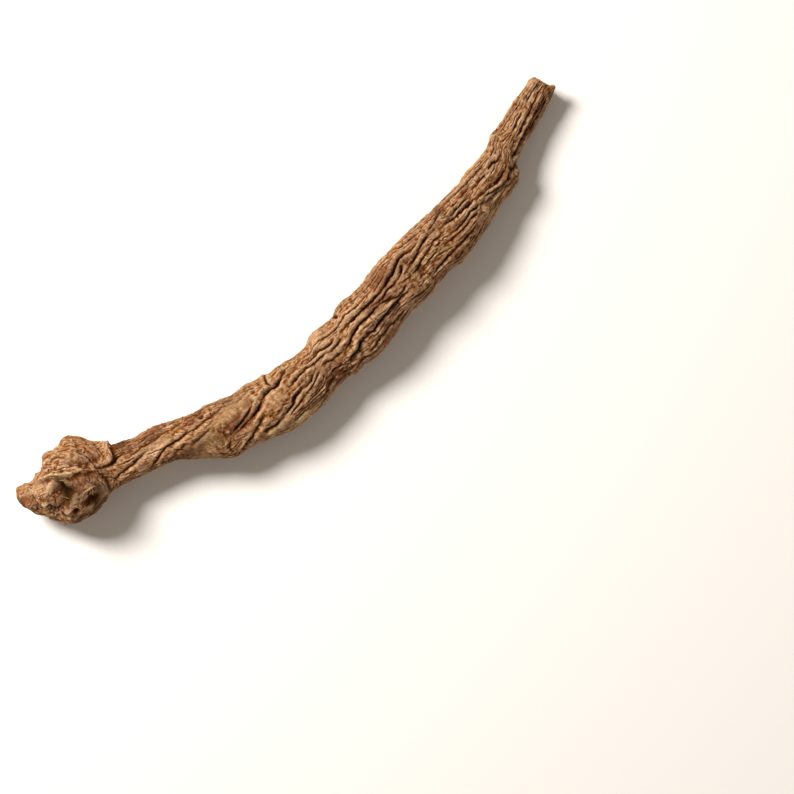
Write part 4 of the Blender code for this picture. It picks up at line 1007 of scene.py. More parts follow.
def painted(patches):
    """Ovals on the upper side: full in the middle, and gone at their edge."""
    mark = np.zeros_like(height)
    ragged = 0.4 * soft_noise(smooth, 0.9, 1.0, 151.0) + 0.25 * soft_noise(smooth, 0.4, 1.0, 157.0)
    for patch_x, patch_y, reach_x, reach_y, strength in patches:
        off = np.hypot((seen_x - patch_x) / reach_x, (seen_y - patch_y) / reach_y) + ragged
        mark = np.maximum(mark, strength * upper_side * np.clip(1.7 - 1.5 * off, 0, 1))
    return mark


reach = CORNERS // 75
near_crest = height - blur(blur(height, 1, reach // 2), 1, reach // 2)
wide_crest = height - blur(blur(height, 3, reach), 3, reach)
crest = np.clip(near_crest / NEAR_CREST + wide_crest / WIDE_CREST, -1, 1)
marks = {
    "cleft_shade_and_dust": np.clip(dark, 0, 1),
    "crest": crest,
    "crown": crown,
    "red": painted(RED_PATCHES),
    "pale_and_highlit": painted(PALE_SPOTS_AND_HIGHLIGHTS),
    "damp_and_shade": painted(DAMP_AND_SHADE_PATCHES),
    "lighter_and_highlit": painted(LIGHTER_BARK_AND_HIGHLIGHTS),
    "shade": painted(DARKER_BARK_AND_SHADE),
}
print({name: round(float(mark.mean()), 3) for name, mark in marks.items()})

# %% [markdown]
# ## Raise the bark
#
# The height is laid on along the skin's own normal, which is the cross product of the ways
# round the root and along it. Nothing may sink below the surface that the root lies on, and
# the crown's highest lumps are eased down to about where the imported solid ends.

# %% Raise the bark
HIGHEST = 15.2
EASED_OVER = 0.5

along = np.gradient(smooth, axis=0)
around = np.roll(smooth, -1, axis=1) - np.roll(smooth, 1, axis=1)
normal = np.cross(around, along)
normal /= np.linalg.norm(normal, axis=-1, keepdims=True)
bark = smooth + normal * height[..., None]
bark[..., 2] = np.maximum(bark[..., 2], 0)
above = np.maximum(bark[..., 2] - HIGHEST, 0)
bark[..., 2] -= above - EASED_OVER * np.tanh(above / EASED_OVER)
print("bark, mm:", bark.reshape(-1, 3).min(0).round(2), bark.reshape(-1, 3).max(0).round(2))

# %% [markdown]
# ## The two ends
#
# More rings close the ends, each one drawn further in. The crown's end is a rounded knob. The
# tip was cut, and shows what is inside a root: a shrunken, darker outer layer that has sunk
# in and cracked towards the middle, a dark ring, and a core of pale wood with rays.

# %% End rings
CROWN_END_STEPS = [(0.0, -0.75), (0.12, -0.73), (0.28, -0.68), (0.5, -0.58), (0.76, -0.36),
                   (1.0, 0.0)]
CROWN_END_RINGS = 26
CUT_STEPS = [(0.0, -0.12), (0.07, -0.16), (0.13, 0.1), (0.35, 0.04), (0.56, 0.1), (0.62, -0.1),
             (0.75, -0.2), (0.88, -0.1), (0.95, 0.05), (1.0, 0.0)]
CUT_RINGS = 34


def end_rings(ring, shares, steps, out, rough_size, rough_height):
    """Rings that close an end: drawn in by each share, and pushed out along X."""
    middle = ring.mean(axis=0)
    points = middle + (ring - middle) * shares[:, None, None]
    push = np.interp(shares, *np.array(steps).T)[:, None]
    noise_here = soft_noise(points, rough_size, 1.0, 7.7) * rough_height
    points[..., 0] += push + out * noise_here * np.minimum(1, 3 * (1 - shares))[:, None]
    return points


crown_shares = np.linspace(1, 0, CROWN_END_RINGS + 1)[1:]
crown_end = end_rings(bark[0], crown_shares, CROWN_END_STEPS, -1, 1.1, 0.3)
cut_shares = np.linspace(1, 0, CUT_RINGS + 1)[1:]
cut = end_rings(bark[-1], cut_shares, CUT_STEPS, 1, 0.35, 0.07)
rays = np.abs([noise.noise((3.2 * math.cos(a), 3.2 * math.sin(a), 0.5)) for a in round_root])
rays = np.exp(-rays / 0.05)
in_bark = np.clip((cut_shares - 0.6) / 0.1, 0, 1) * np.clip((0.97 - cut_shares) / 0.1, 0, 1)
in_wood = np.clip((0.58 - cut_shares) / 0.06, 0, 1) * np.clip((cut_shares - 0.1) / 0.1, 0, 1)
cut[..., 0] -= 0.3 * in_bark[:, None] * rays + 0.12 * in_wood[:, None] * rays
print("cut face, mm:", cut[..., 0].min().round(2), "to", cut[..., 0].max().round(2))

# %% [markdown]
# ## One closed mesh
#
# All rings are joined into one closed skin. Bridging them two by two with Blender's own tool
# would be slow at this size, so the faces are worked out as corner numbers, all at once.

# %% Mesh helpers
def to_model(points):
    """Points in mm in the drawing frame, as metres in the model's frame."""
    return (points - np.array([MIDDLE_X, MIDDLE_Y, 0])) * MM


def new_object(name, mesh):
    """An object for a mesh, linked to the scene."""
    made = bpy.data.objects.new(name, mesh)
    bpy.context.scene.collection.objects.link(made)
    return made


def faces_between(rings, corners):
    """Corner numbers of the quads between rings that follow each other."""
    ring, corner = np.meshgrid(np.arange(rings - 1), np.arange(corners), indexing="ij")
    after = (corner + 1) % corners
    quads = np.stack([ring * corners + corner, ring * corners + after,
                      (ring + 1) * corners + after, (ring + 1) * corners + corner], axis=-1)
    return quads.reshape(-1, 4)


def keep(mesh, name, values, kind="FLOAT"):
    """Keep an array on a mesh as an attribute, one number or one place for each corner."""
    attribute = mesh.attributes.new(name, kind, "POINT")
    attribute.data.foreach_set("value" if kind == "FLOAT" else "vector",
                               np.asarray(values, np.float32).ravel())


print("quads in two rings of four corners:", len(faces_between(2, 4)))

# %% [markdown]
# The marks go along with the mesh as attributes, one number for each corner. Blender's
# foreach_set fills them from whole arrays, which is far quicker than one by one. Over the end
# of the crown they fade towards its middle, and the cut has a mark of its own, which grows
# from its rim inwards.

# %% Build the mesh
rows = np.concatenate([crown_end[::-1], bark, cut])
quads = faces_between(len(rows), CORNERS)
mesh = bpy.data.meshes.new("root_bark")
mesh.from_pydata(to_model(rows.reshape(-1, 3)).tolist(), [], quads.tolist())

for name, mark in marks.items():
    start = np.ones((len(crown_end), CORNERS))
    if name != "crown":
        start = crown_shares[::-1, None] * mark[0]
    keep(mesh, name, np.concatenate([start, mark, np.zeros((len(cut), CORNERS))]))
cut_depth = np.concatenate([np.zeros(crown_end.shape[:2]), np.zeros(height.shape),
                            np.ones((len(cut), CORNERS)) * (1 - 0.999 * cut_shares[:, None])])
keep(mesh, "cut", cut_depth)
grain_rows = np.concatenate([crown_end[::-1] * 0 + grain[0] * crown_shares[::-1, None, None],
                             grain, grain[-1] * np.ones((len(cut), 1, 1))])
grain_rows[-len(cut):, :, 1:] *= cut_shares[:, None, None]
keep(mesh, "grain", grain_rows, "FLOAT_VECTOR")
print("fine mesh:", len(mesh.polygons), "quads")

# %% [markdown]
# ## Thin it out where it is smooth
#
# Nearly seven hundred thousand triangles are too many to hand to anyone, and most of them lie
# on nearly flat bark. The Decimate modifier takes away the ones that matter least, so the
# clefts keep theirs. The last corners of each end meet in one point, and are merged first.
# The bark then takes the imported root's place, and is fixed to its body.

# %% Thin out
TRIANGLES = 196000

bm = bmesh.new()
bm.from_mesh(mesh)
bmesh.ops.remove_doubles(bm, verts=bm.verts, dist=0.002 * MM)
bmesh.ops.triangulate(bm, faces=bm.faces)
bmesh.ops.recalc_face_normals(bm, faces=bm.faces)
bm.to_mesh(mesh)
bm.free()
root = new_object("root_bark", mesh)
decimate = root.modifiers.new("thin out", "DECIMATE")
decimate.ratio = min(1.0, TRIANGLES / len(mesh.polygons))
thinned = bpy.data.meshes.new_from_object(root.evaluated_get(bpy.context.evaluated_depsgraph_get()))
root.modifiers.clear()
root.data = thinned
bpy.data.meshes.remove(mesh)
thinned.name = "root_bark"
thinned.shade_smooth()
print("bark mesh:", len(thinned.polygons), "triangles, attributes", thinned.attributes.keys())

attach(root, "root")
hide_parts("teasel_root")

# %% [markdown]
# ## The bark's finish
#
# Dry bark is dull and never one colour. Its tan shifts between warm, red and grey, its crests
# are paler, partly rubbed and partly a painted highlight, and its clefts are darker, partly with
# dark dust and partly with painted shade. Over that lie fibres along the grain and specks as
# fine as flour. An image texture would stretch where the form bends. Noise doesn't, so each of
# these is one mix of colours, and the mixes are stacked up in the order in which they would
# cover each other. A few helpers keep the node setup readable.

# %% Node helpers
def new_material(name):
    """A material with a bare Principled shader, and its node tree."""
    made = bpy.data.materials.new(name)
    made.use_nodes = True
    return made, made.node_tree, made.node_tree.nodes["Principled BSDF"]


def mark_node(tree, name, output="Fac"):
    """The output of a node that reads a mark from the mesh."""
    node = tree.nodes.new("ShaderNodeAttribute")
    node.attribute_name = name
    return node.outputs[output]


def noise_node(tree, place, size, stretch=1.0, detail=2.0, rough=0.5, shift=0.0):
    """Noise of this size in mm, drawn out along the grain."""
    squeeze = tree.nodes.new("ShaderNodeMapping")
    squeeze.inputs["Location"].default_value = (shift, shift, shift)
    squeeze.inputs["Scale"].default_value = (1 / (size * stretch), 1 / size, 1 / size)
    tree.links.new(place, squeeze.inputs["Vector"])
    texture = tree.nodes.new("ShaderNodeTexNoise")
    texture.inputs["Scale"].default_value = 1.0
    texture.inputs["Detail"].default_value = detail
    texture.inputs["Roughness"].default_value = rough
    tree.links.new(squeeze.outputs["Vector"], texture.inputs["Vector"])
    return texture.outputs["Fac"]


def ranged(tree, value, low, high, to_low=0.0, to_high=1.0):
    """The value, stretched from one range to another and kept inside it."""
    node = tree.nodes.new("ShaderNodeMapRange")
    node.clamp = True
    ends = {"From Min": low, "From Max": high, "To Min": to_low, "To Max": to_high}
    for name, number in ends.items():
        node.inputs[name].default_value = number
    tree.links.new(value, node.inputs["Value"])
    return node.outputs["Result"]


def mixed(tree, share, first, second, blend="MIX"):
    """Two colours mixed by a share. Either may be a plain colour or another node's output."""
    node = tree.nodes.new("ShaderNodeMix")
    node.data_type = "RGBA"
    node.blend_type = blend
    for number, value in ((0, share), (6, first), (7, second)):
        socket = node.inputs[number]
        if isinstance(value, bpy.types.NodeSocket):
            tree.links.new(value, socket)
        elif isinstance(value, float):
            socket.default_value = value
        else:
            socket.default_value = (*value, 1.0)
    return node.outputs[2]


def marked(tree, colour, mark, share, other):
    """The colour, with another one mixed in where a mark lies."""
    return mixed(tree, ranged(tree, mark_node(tree, mark), 0.0, 1.0, 0.0, share), colour, other)


def toned(tree, colour, tone):
    """The colour, multiplied by a tone, which counts as 1 at most."""
    return mixed(tree, 1.0, colour, mixed(tree, tone, (0.0, 0.0, 0.0), (1.0, 1.0, 1.0)), "MULTIPLY")


def combined(tree, first, second, operation="MULTIPLY"):
    """Two numbers, multiplied, added or compared."""
    node = tree.nodes.new("ShaderNodeMath")
    node.operation = operation
    for socket, value in zip(node.inputs, (first, second)):
        if isinstance(value, bpy.types.NodeSocket):
            tree.links.new(value, socket)
        else:
            socket.default_value = value
    return node.outputs[0]


print("node helpers ready")

# %% [markdown]
# The base is a tan into which five tints are mixed by noise of five sizes: three broad ones,
# from three to nine millimetres, and two of about one millimetre, all drawn out along the
# grain. Each tint has the size, stretch, detail, roughness and shift of its noise, the range
# of the noise over which it comes in, the most of it that is mixed in, and its colour.

# %% Bark colours
TAN = (0.345, 0.155, 0.063)
WARM_TAN = (0.38, 0.166, 0.054)
RED_BROWN = (0.25, 0.076, 0.026)
GREY_BROWN = (0.235, 0.135, 0.062)
PINK_TAN = (0.42, 0.19, 0.10)
OCHRE = (0.38, 0.23, 0.07)
# crest tan: partly rubbed wear, partly a painted highlight on the crests
CREST_TAN = (0.655, 0.415, 0.238)
LIGHT_TAN = (0.78, 0.49, 0.28)
# dent brown: painted shade, for the dents and the dark stretches
DENT_SHADE_BROWN = (0.15, 0.036, 0.007)
# cleft brown: painted shade in the clefts, with their dark dust
CLEFT_SHADE_BROWN = (0.024, 0.004, 0.0008)
PALE_STRAW = (0.68, 0.48, 0.25)
# damp brown: the damp scars, and painted shade on the crown
DAMP_SHADE_BROWN = (0.054, 0.025, 0.005)

TINTS = [
    (9.0, 2.0, 3.0, 0.5, 0.0, 0.42, 0.62, 1.0, WARM_TAN),
    (5.0, 2.5, 3.0, 0.6, 0.0, 0.5, 0.72, 0.42, RED_BROWN),
    (3.2, 2.5, 4.0, 0.6, 0.0, 0.5, 0.7, 0.4, GREY_BROWN),
    (0.8, 2.6, 2.0, 0.6, 40.0, 0.52, 0.66, 0.45, PINK_TAN),
    (1.0, 2.4, 2.0, 0.6, 80.0, 0.53, 0.66, 0.6, OCHRE),
]

bark_material, tree, shader = new_material("bark")
place = mark_node(tree, "grain", "Vector")
colour = TAN
for *noise_values, low, high, share, tint in TINTS:
    cover = ranged(tree, noise_node(tree, place, *noise_values), low, high, 0.0, share)
    colour = mixed(tree, cover, colour, tint)
print("base colours:", len(tree.nodes), "nodes")

# %% [markdown]
# The crests and dents come next, each broken up by noise, because wear is never even; the
# crests' pale is partly a painted highlight, and the dents' brown is painted shade. The light
# and dark stretches follow, partly painted highlight and painted shade, then the red patches and
# the pale ones, which hold painted highlights as well as scars. One tone multiplies all of
# that: fibres, flour and dark specks, with a slow swing between lighter and darker, which is
# weaker on the crown and lowered as painted shade under the dark stretches. Damp patches, partly
# painted shade, cover even these, and the clefts get their painted shade last of all.

# %% Wear, painted light and patches
crest_mark = mark_node(tree, "crest")
wear = noise_node(tree, place, 0.7, 2.2, 3.0, 0.65)
# crests are pale partly for wear and partly as a painted highlight; the same share lowers their
# roughness
rubbed_and_highlit = combined(tree, ranged(tree, crest_mark, 0.0, 0.9), ranged(tree, wear, 0.3, 0.6, 0.35, 1.0))
colour = mixed(tree, ranged(tree, rubbed_and_highlit, 0.0, 1.0, 0.0, 0.85), colour, CREST_TAN)
# painted shade in the dents
colour = mixed(tree, ranged(tree, crest_mark, -0.65, 0.0, 0.85, 0.0), colour, DENT_SHADE_BROWN)
# light stretches: partly a painted highlight; dark stretches: partly painted shade
colour = marked(tree, colour, "lighter_and_highlit", 0.62, LIGHT_TAN)
colour = marked(tree, colour, "shade", 0.72, DENT_SHADE_BROWN)
colour = marked(tree, colour, "red", 0.8, RED_BROWN)
# pale scars, and painted highlights where the bark faces a lamp
colour = marked(tree, colour, "pale_and_highlit", 0.9, PALE_STRAW)
fibres = ranged(tree, noise_node(tree, place, 0.2, 7.0, 3.0, 0.6), 0.3, 0.7, 0.6, 1.32)
flour = ranged(tree, noise_node(tree, place, 0.42, 1.2, 3.0, 0.75, 20.0), 0.32, 0.68, 0.68, 1.24)
specks = ranged(tree, noise_node(tree, place, 0.5, 1.4, 1.0, 0.5, 60.0), 0.68, 0.73, 1.0, 0.45)
tone = combined(tree, combined(tree, fibres, flour), specks)
swing = ranged(tree, noise_node(tree, place, 4.5, 1.7, 2.0, 0.5, 110.0), 0.36, 0.64, -0.17, 0.15)
swing = combined(tree, swing, ranged(tree, mark_node(tree, "crown"), 0.0, 1.0, 1.0, 0.3))
# dark stretches also lower the tone, as painted shade
swing = combined(tree, swing, combined(tree, mark_node(tree, "shade"), -0.2), "ADD")
tone = combined(tree, tone, combined(tree, swing, 1.0, "ADD"))
colour = toned(tree, colour, tone)
# damp scars, and painted shade on the crown
colour = marked(tree, colour, "damp_and_shade", 0.86, DAMP_SHADE_BROWN)
# last, painted shade in the clefts and pits, with their dust
cleft_shade_mark = mark_node(tree, "cleft_shade_and_dust")
colour = mixed(tree, ranged(tree, cleft_shade_mark, 0.12, 0.85, 0.0, 0.93), colour, CLEFT_SHADE_BROWN)
print("with wear:", len(tree.nodes), "nodes")

# %% [markdown]
# ## The cut end's finish
#
# The cut could have a material of its own, but the two would meet in a hard, jagged edge. It
# is part of the same mesh, and its mark grows from the rim to the middle. The share of the way
# in picks the layer: the outer layer, the dark ring, the wood and the soft middle.

# %% Cut end
CUT_LAYERS = [(0.0, (0.30, 0.17, 0.08)), (0.05, (0.26, 0.15, 0.075)), (0.30, (0.36, 0.24, 0.12)),
              (0.385, (0.12, 0.06, 0.03)), (0.42, (0.52, 0.38, 0.20)), (0.80, (0.58, 0.44, 0.25)),
              (0.90, (0.30, 0.20, 0.11)), (1.0, (0.14, 0.08, 0.045))]

cut_mark = mark_node(tree, "cut")
layers = tree.nodes.new("ShaderNodeValToRGB")
while len(layers.color_ramp.elements) < len(CUT_LAYERS):
    layers.color_ramp.elements.new(0.5)
for element, (position, layer_colour) in zip(layers.color_ramp.elements, CUT_LAYERS):
    element.position = position
    element.color = (*layer_colour, 1.0)
tree.links.new(cut_mark, layers.inputs["Fac"])
wood_grain = ranged(tree, noise_node(tree, place, 0.18, 1.0, 4.0, 0.7), 0.3, 0.7, 0.55, 1.15)
cut_colour = toned(tree, layers.outputs["Color"], wood_grain)
colour = mixed(tree, ranged(tree, cut_mark, 0.001, 0.02), colour, cut_colour)
tree.links.new(colour, shader.inputs["Base Color"])
print("bark material:", len(tree.nodes), "nodes")

# %% [markdown]
# ## How the bark takes the light
#
# Bark scatters light widely, so it is rough nearly everywhere. Only the rubbed crests have a
# trace of gloss, and the dents have none, or their browns would look grey. The grain that is
# too fine for the mesh comes from a bump: fibres along the root, with flour-fine specks over
# them, about a tenth of a millimetre high.

# %% Roughness and bump
BUMP_DISTANCE = 0.25 * MM

tree.links.new(ranged(tree, rubbed_and_highlit, 0.0, 1.0, 0.88, 0.7), shader.inputs["Roughness"])
tree.links.new(ranged(tree, crest_mark, -0.4, 0.6, 0.02, 0.28), shader.inputs["Specular IOR Level"])
shader.inputs["Metallic"].default_value = 0.0
bump_fibres = noise_node(tree, place, 0.2, 5.0, 3.0, 0.6)
bump_flour = noise_node(tree, place, 0.5, 0.8, 4.0, 0.75)
bump_height = combined(tree, bump_fibres, combined(tree, bump_flour, 1.6), "ADD")
bump = tree.nodes.new("ShaderNodeBump")
bump.inputs["Strength"].default_value = 1.0
bump.inputs["Distance"].default_value = BUMP_DISTANCE
tree.links.new(bump_height, bump.inputs["Height"])
tree.links.new(bump.outputs["Normal"], shader.inputs["Normal"])
thinned.materials.clear()
thinned.materials.append(bark_material)
print("bark finished")

# %% [markdown]
# ## Torn leaf bases and rootlet stubs
#
# Leaves grew from the crown, and their torn bases are left as small, thin flakes that stick
# out of it. Rootlets broke off the body, and left short stubs. Hair curves could stand for the
# thinnest of them, but only a mesh can be handed on. So all are tapered tubes with an uneven
# end: a flake is wide and thin and bends over, a stub is round. One helper builds them all, a
# ring at a time, from a place on the bark that its foot is sunk in. Its roundness says how
# long a tube keeps its width before it narrows. A flake that would stand up above the crown's
# highest lumps runs on level instead.

# %% Tapered tubes
TUBE_SIDES = 7
TUBE_STEPS = 5


def on_bark(at_x, at_angle):
    """The bark's point and outward direction nearest to this x and angle."""
    ring = min(int(np.searchsorted(ring_x, at_x)), len(ring_x) - 1)
    corner = round(at_angle / (2 * math.pi) * CORNERS) % CORNERS
    return Vector(bark[ring, corner]), Vector(normal[ring, corner])


def tapered(piece, foot, out, heading, length, half_width, half_depth, lift, end_share, shape_rng,
            roundness=1.3):
    """Add one closed tube, lifted off the bark by an angle, to the lists of a piece."""
    points, faces, marks_here = piece
    flat = (heading - out * heading.dot(out)).normalized()
    across = out.cross(flat)
    sides, steps = TUBE_SIDES, TUBE_STEPS
    start = len(points)
    centre = foot - 0.25 * out
    for step in range(steps + 1):
        share = step / steps
        slope = lift * (1 - 0.45 * share)
        direction = flat * math.cos(slope) + out * math.sin(slope)
        up = out * math.cos(slope) - flat * math.sin(slope)
        if centre.z > HIGHEST:
            direction.z = min(direction.z, 0.0)
        taper = 1 - (1 - end_share) * share ** roundness
        for side in range(sides):
            turn_here = 2 * math.pi * side / sides
            wobble = shape_rng.uniform(0.82, 1.18)
            ragged = shape_rng.uniform(-0.35, 0.35) * length / steps if step == steps else 0.0
            points.append(centre + wobble * taper * (across * half_width * math.cos(turn_here)
                                                     + up * half_depth * math.sin(turn_here))
                          + direction * ragged)
            marks_here.append(share)
        centre = centre + direction * (length / steps)
    points += [foot - 0.3 * out, centre - direction * (0.32 * length / steps + 0.1)]
    marks_here += [0.0, 0.55]
    for step in range(steps):
        for side in range(sides):
            a = start + step * sides + side
            b = start + step * sides + (side + 1) % sides
            faces += [(a, b, b + sides), (a, b + sides, a + sides)]
    first, last = len(points) - 2, len(points) - 1
    for side in range(sides):
        after = (side + 1) % sides
        faces.append((start + after, start + side, first))
        faces.append((start + steps * sides + side, start + steps * sides + after, last))


def finished_piece(name, piece, material):
    """One object made of all the tubes in the lists."""
    points, faces, marks_here = piece
    made = bpy.data.meshes.new(name)
    made.from_pydata(to_model(np.array(points)).tolist(), [], faces)
    keep(made, "tip", marks_here)
    bm = bmesh.new()
    bm.from_mesh(made)
    bmesh.ops.recalc_face_normals(bm, faces=bm.faces)
    bm.to_mesh(made)
    bm.free()
    made.shade_smooth()
    made.materials.append(material)
    placed = new_object(name, made)
    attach(placed, "root")
    print(name, len(faces), "triangles")


print("each tube has", TUBE_SIDES * (2 * TUBE_STEPS + 2), "triangles")

# %% [markdown]
# Flakes and stubs share one material, a straw that darkens to brown at the foot. They have no
# grain places to read, so its noise reads the object's own coordinates, brought from metres to
# millimetres.

# %% Straw material
STRAW_BROWN = (0.30, 0.145, 0.058)
STRAW_TAN = (0.52, 0.31, 0.15)
FOOT_BROWN = (0.13, 0.05, 0.016)

straw_material, straw_tree, straw_shader = new_material("torn_fibre")
coordinates = straw_tree.nodes.new("ShaderNodeTexCoord")
in_mm = straw_tree.nodes.new("ShaderNodeMapping")
in_mm.inputs["Scale"].default_value = (1000.0, 1000.0, 1000.0)
straw_tree.links.new(coordinates.outputs["Object"], in_mm.inputs["Vector"])
straw_place = in_mm.outputs["Vector"]
straw_noise = ranged(straw_tree, noise_node(straw_tree, straw_place, 0.9, 1.0, 3.0), 0.35, 0.65)
straw = mixed(straw_tree, straw_noise, STRAW_BROWN, STRAW_TAN)
foot_share = ranged(straw_tree, mark_node(straw_tree, "tip"), 0.0, 0.8, 0.85, 0.0)
straw = mixed(straw_tree, foot_share, straw, FOOT_BROWN)
straw_grain = noise_node(straw_tree, straw_place, 0.16, 1.0, 3.0, 0.7)
straw = toned(straw_tree, straw, ranged(straw_tree, straw_grain, 0.3, 0.7, 0.6, 1.2))
straw_tree.links.new(straw, straw_shader.inputs["Base Color"])
straw_shader.inputs["Roughness"].default_value = 0.85
straw_shader.inputs["Specular IOR Level"].default_value = 0.15
print("straw material:", len(straw_tree.nodes), "nodes")

# %% [markdown]
# Each row of flakes follows a line on the crown. It says how many there are, the way they
# point in degrees, their length, half their width, and its points. Fibres as thin as hairs
# lie along the rim and hang into the hollows, and wider flakes stand round the pits. More are
# strewn over the underside, where the lowest leaves were.

# %% Leaf bases
FLAKE_ROWS = [
    (12, 95, 1.3, 0.1, [(10.0, -8.4), (11.4, -7.8), (13.2, -7.9), (14.6, -8.8)]),
    (10, 130, 1.2, 0.09, [(9.8, -5.2), (10.6, -6.4), (11.4, -7.4)]),
    (9, 275, 1.0, 0.13, [(3.2, -4.6), (4.4, -5.4), (4.2, -6.6)]),
    (7, 30, 0.9, 0.18, [(8.2, -10.8), (8.6, -12.2), (9.8, -13.4)]),
    (10, 205, 1.0, 0.24, [(2.0, -6.4), (2.4, -8.2), (3.2, -10.2), (4.4, -12.2)]),
    (8, 255, 0.9, 0.2, [(2.8, -7.0), (4.4, -8.2), (4.9, -9.6)]),
    (7, 320, 1.1, 0.16, [(5.2, -4.6), (5.9, -6.2), (6.2, -8.0)]),
    (16, 262, 1.5, 0.11, [(10.0, -9.3), (11.6, -8.9), (13.4, -9.1), (14.4, -10.2)]),
    (7, 235, 0.9, 0.26, [(5.4, -11.4), (6.4, -12.8), (7.6, -13.6)]),
    (14, 330, 2.4, 0.12, [(6.0, -1.3), (7.8, -2.2), (9.4, -3.1), (10.8, -4.0)]),
    (8, 333, 1.8, 0.09, [(9.0, -3.2), (11.4, -4.6), (13.2, -5.3)]),
    (6, 285, 0.8, 0.2, [(20.6, -2.6), (21.6, -4.2), (21.4, -6.0)]),
    (6, 215, 0.8, 0.22, [(-1.2, -4.6), (0.2, -6.6), (1.2, -7.8)]),
    (4, 110, 0.7, 0.18, [(1.6, 0.0), (2.4, -0.2), (3.2, -0.6)]),
    (10, 325, 1.6, 0.1, [(9.4, 1.6), (11.0, 0.9), (13.6, 0.4), (15.6, -0.6)]),
    (8, 300, 1.2, 0.1, [(2.6, -1.6), (3.8, -2.6), (4.6, -3.6)]),
]
FIBRE_HALF_WIDTH = 0.15
UNDER_FLAKES = 46
UNDER_FLAKES_ABOVE = 1.6

flake_rng = random.Random(SEED + 3)
flakes = ([], [], [])
for count, pointing, length, half_width, line in FLAKE_ROWS:
    line_x, line_y = np.array(line, float).T
    for share in np.linspace(0.03, 0.97, count):
        at = share * (len(line) - 1)
        at_x = float(np.interp(at, np.arange(len(line)), line_x)) + flake_rng.uniform(-0.3, 0.3)
        at_y = float(np.interp(at, np.arange(len(line)), line_y)) + flake_rng.uniform(-0.3, 0.3)
        foot, out = on_bark(*moved_back(seen_from_above([(at_x, at_y)]))[0])
        fibre = half_width < FIBRE_HALF_WIDTH
        way = math.radians(pointing + flake_rng.uniform(-1, 1) * (12 if fibre else 40))
        heading = Vector((math.cos(way), math.sin(way), 0.0))
        tapered(flakes, foot, out, heading, length * flake_rng.uniform(0.5, 1.3),
                half_width * flake_rng.uniform(0.6, 1.4), flake_rng.uniform(0.05, 0.09),
                flake_rng.uniform(0.12, 0.22) if fibre else flake_rng.uniform(0.15, 0.5),
                flake_rng.uniform(0.2, 0.6), flake_rng)
for _ in range(UNDER_FLAKES):
    at_x = flake_rng.uniform(1.0, 18.0)
    at_angle = math.pi * flake_rng.uniform(0.95, 2.05)
    foot, out = on_bark(at_x, at_angle)
    if foot.z < UNDER_FLAKES_ABOVE:
        continue
    heading = Vector((flake_rng.uniform(-1, 0.3), flake_rng.uniform(-0.5, 0.5),
                      flake_rng.uniform(-0.2, 0.6)))
    tapered(flakes, foot, out, heading, flake_rng.uniform(0.5, 1.2), flake_rng.uniform(0.16, 0.4),
            flake_rng.uniform(0.06, 0.12), flake_rng.uniform(0.15, 0.6),
            flake_rng.uniform(0.3, 0.7), flake_rng)
finished_piece("leaf_bases", flakes, straw_material)

# %% [markdown]
# The stubs stand where rootlets grew: a few on the upper side, the rest on the underside and
# the flanks, and a rounded nub at the corner of the cut. Each is given by its x, y, length and
# radius. The nub has an angle in place of y, because it sits on the flank.

# %% Rootlet stubs
STUBS = [
    (45.5, -19.2, 0.35, 0.32), (72.1, -24.4, 0.3, 0.28), (101.4, -19.8, 0.4, 0.45),
    (107.7, -16.1, 0.35, 0.5), (121.2, -15.4, 0.6, 0.5), (131.4, -13.0, 0.6, 0.55),
    (54.5, -16.4, 0.3, 0.24), (112.5, -19.6, 0.4, 0.4),
]
STUB_ROUNDNESS = 3.0
UNDER_STUBS = 14
UNDER_STUBS_ABOVE = 1.2
TIP_NUB = (149.4, 2.45, 1.25, 0.8)
NUB_SUNK = 0.35
NUB_ROUNDNESS = 4.0

stub_rng = random.Random(SEED + 4)
stubs = ([], [], [])
for at_x, at_y, length, size in STUBS:
    foot, out = on_bark(at_x, float(from_above(at_x, at_y)))
    heading = Vector((1.0, stub_rng.uniform(-0.6, 0.6), 0.0))
    tapered(stubs, foot, out, heading, length, size, size * 0.8,
            stub_rng.uniform(0.9, 1.3), 0.5, stub_rng, STUB_ROUNDNESS)
for share in np.linspace(0, 1, UNDER_STUBS):
    at_x = 24 + 122 * share + stub_rng.uniform(-3, 3)
    foot, out = on_bark(at_x, math.pi * stub_rng.uniform(1.1, 1.9))
    size = stub_rng.uniform(0.3, 0.6)
    if foot.z > UNDER_STUBS_ABOVE:
        tapered(stubs, foot, out, Vector((1.0, 0.2, 0.0)), stub_rng.uniform(0.5, 1.1), size,
                size * 0.85, stub_rng.uniform(0.7, 1.2), 0.55, stub_rng, STUB_ROUNDNESS)
foot, out = on_bark(*TIP_NUB[:2])
tapered(stubs, foot - NUB_SUNK * out, out, Vector((1.0, -0.1, 0.0)), *TIP_NUB[2:], 0.7, 0.2, 0.3,
        stub_rng, NUB_ROUNDNESS)
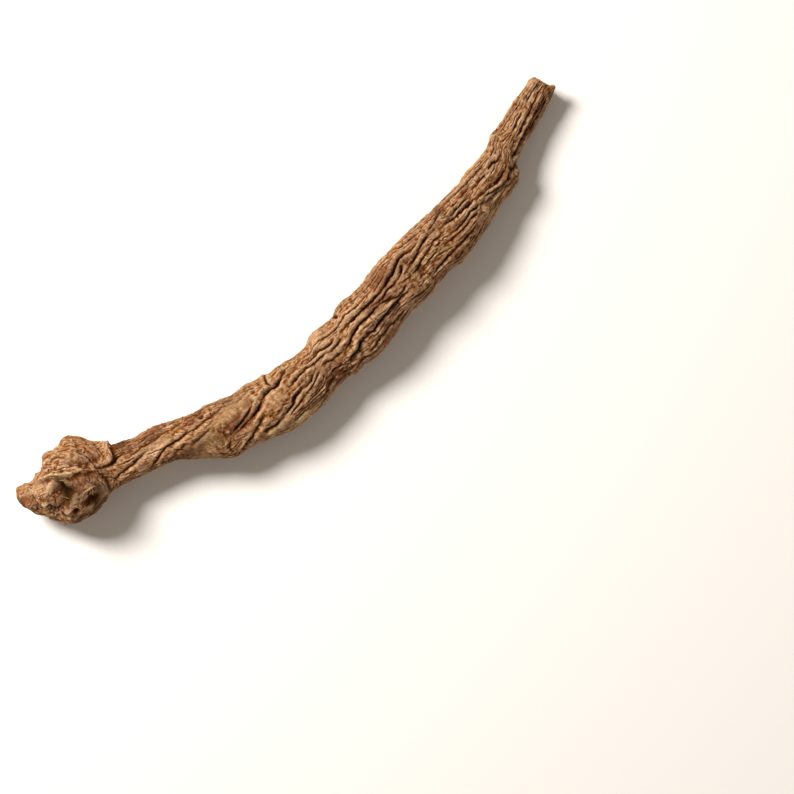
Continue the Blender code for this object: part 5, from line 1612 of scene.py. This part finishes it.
finished_piece("rootlet_stubs", stubs, straw_material)

# %% [markdown]
# ## The floor and the light
#
# The floor is plain and pale. A bright, even sky alone would light the root from all sides,
# and flatten the wrinkles. One soft, fairly large lamp stands beyond the root's upper edge,
# half way up, so that every wrinkle has a lit lip and a shaded one. A weak one, low on the
# other side, catches the lower flank, and a dim, even sky fills in the shadows.

# %% Floor and light
FLOOR_SIZE = 1.6
LAMP_AT = (-0.15, 0.49, 0.48)
LAMP_SIZE = 0.27
LAMP_POWER = 8.5
FILL_AT = (0.16, -0.5, 0.16)
FILL_SIZE = 0.3
FILL_POWER = 0.45
SKY = (1.0, 0.88, 0.76)
SKY_STRENGTH = 0.26

floor_mesh = bpy.data.meshes.new("floor")
half = FLOOR_SIZE / 2
floor_mesh.from_pydata([(-half, -half, 0), (half, -half, 0), (half, half, 0), (-half, half, 0)], [],
                       [(0, 1, 2, 3)])
floor = new_object("floor", floor_mesh)
floor_material, _, floor_shader = new_material("floor")
floor_shader.inputs["Base Color"].default_value = (0.86, 0.85, 0.83, 1.0)
floor_shader.inputs["Roughness"].default_value = 0.9
floor_mesh.materials.append(floor_material)


def add_lamp(name, place, size, power, colour):
    """A round lamp that faces the root's middle."""
    data = bpy.data.lights.new(name, "AREA")
    data.shape = "DISK"
    data.size = size
    data.energy = power
    data.color = colour
    made = bpy.data.objects.new(name, data)
    made.location = place
    made.rotation_euler = (-Vector(place)).to_track_quat("-Z", "Y").to_euler()
    bpy.context.scene.collection.objects.link(made)


add_lamp("lamp", LAMP_AT, LAMP_SIZE, LAMP_POWER, (1.0, 0.965, 0.92))
add_lamp("fill", FILL_AT, FILL_SIZE, FILL_POWER, (1.0, 0.92, 0.82))

world = bpy.data.worlds.new("sky")
world.use_nodes = True
world.node_tree.nodes["Background"].inputs["Color"].default_value = (*SKY, 1.0)
world.node_tree.nodes["Background"].inputs["Strength"].default_value = SKY_STRENGTH
bpy.context.scene.world = world
bpy.context.scene.view_settings.view_transform = "Standard"
print("lamp at", LAMP_AT)
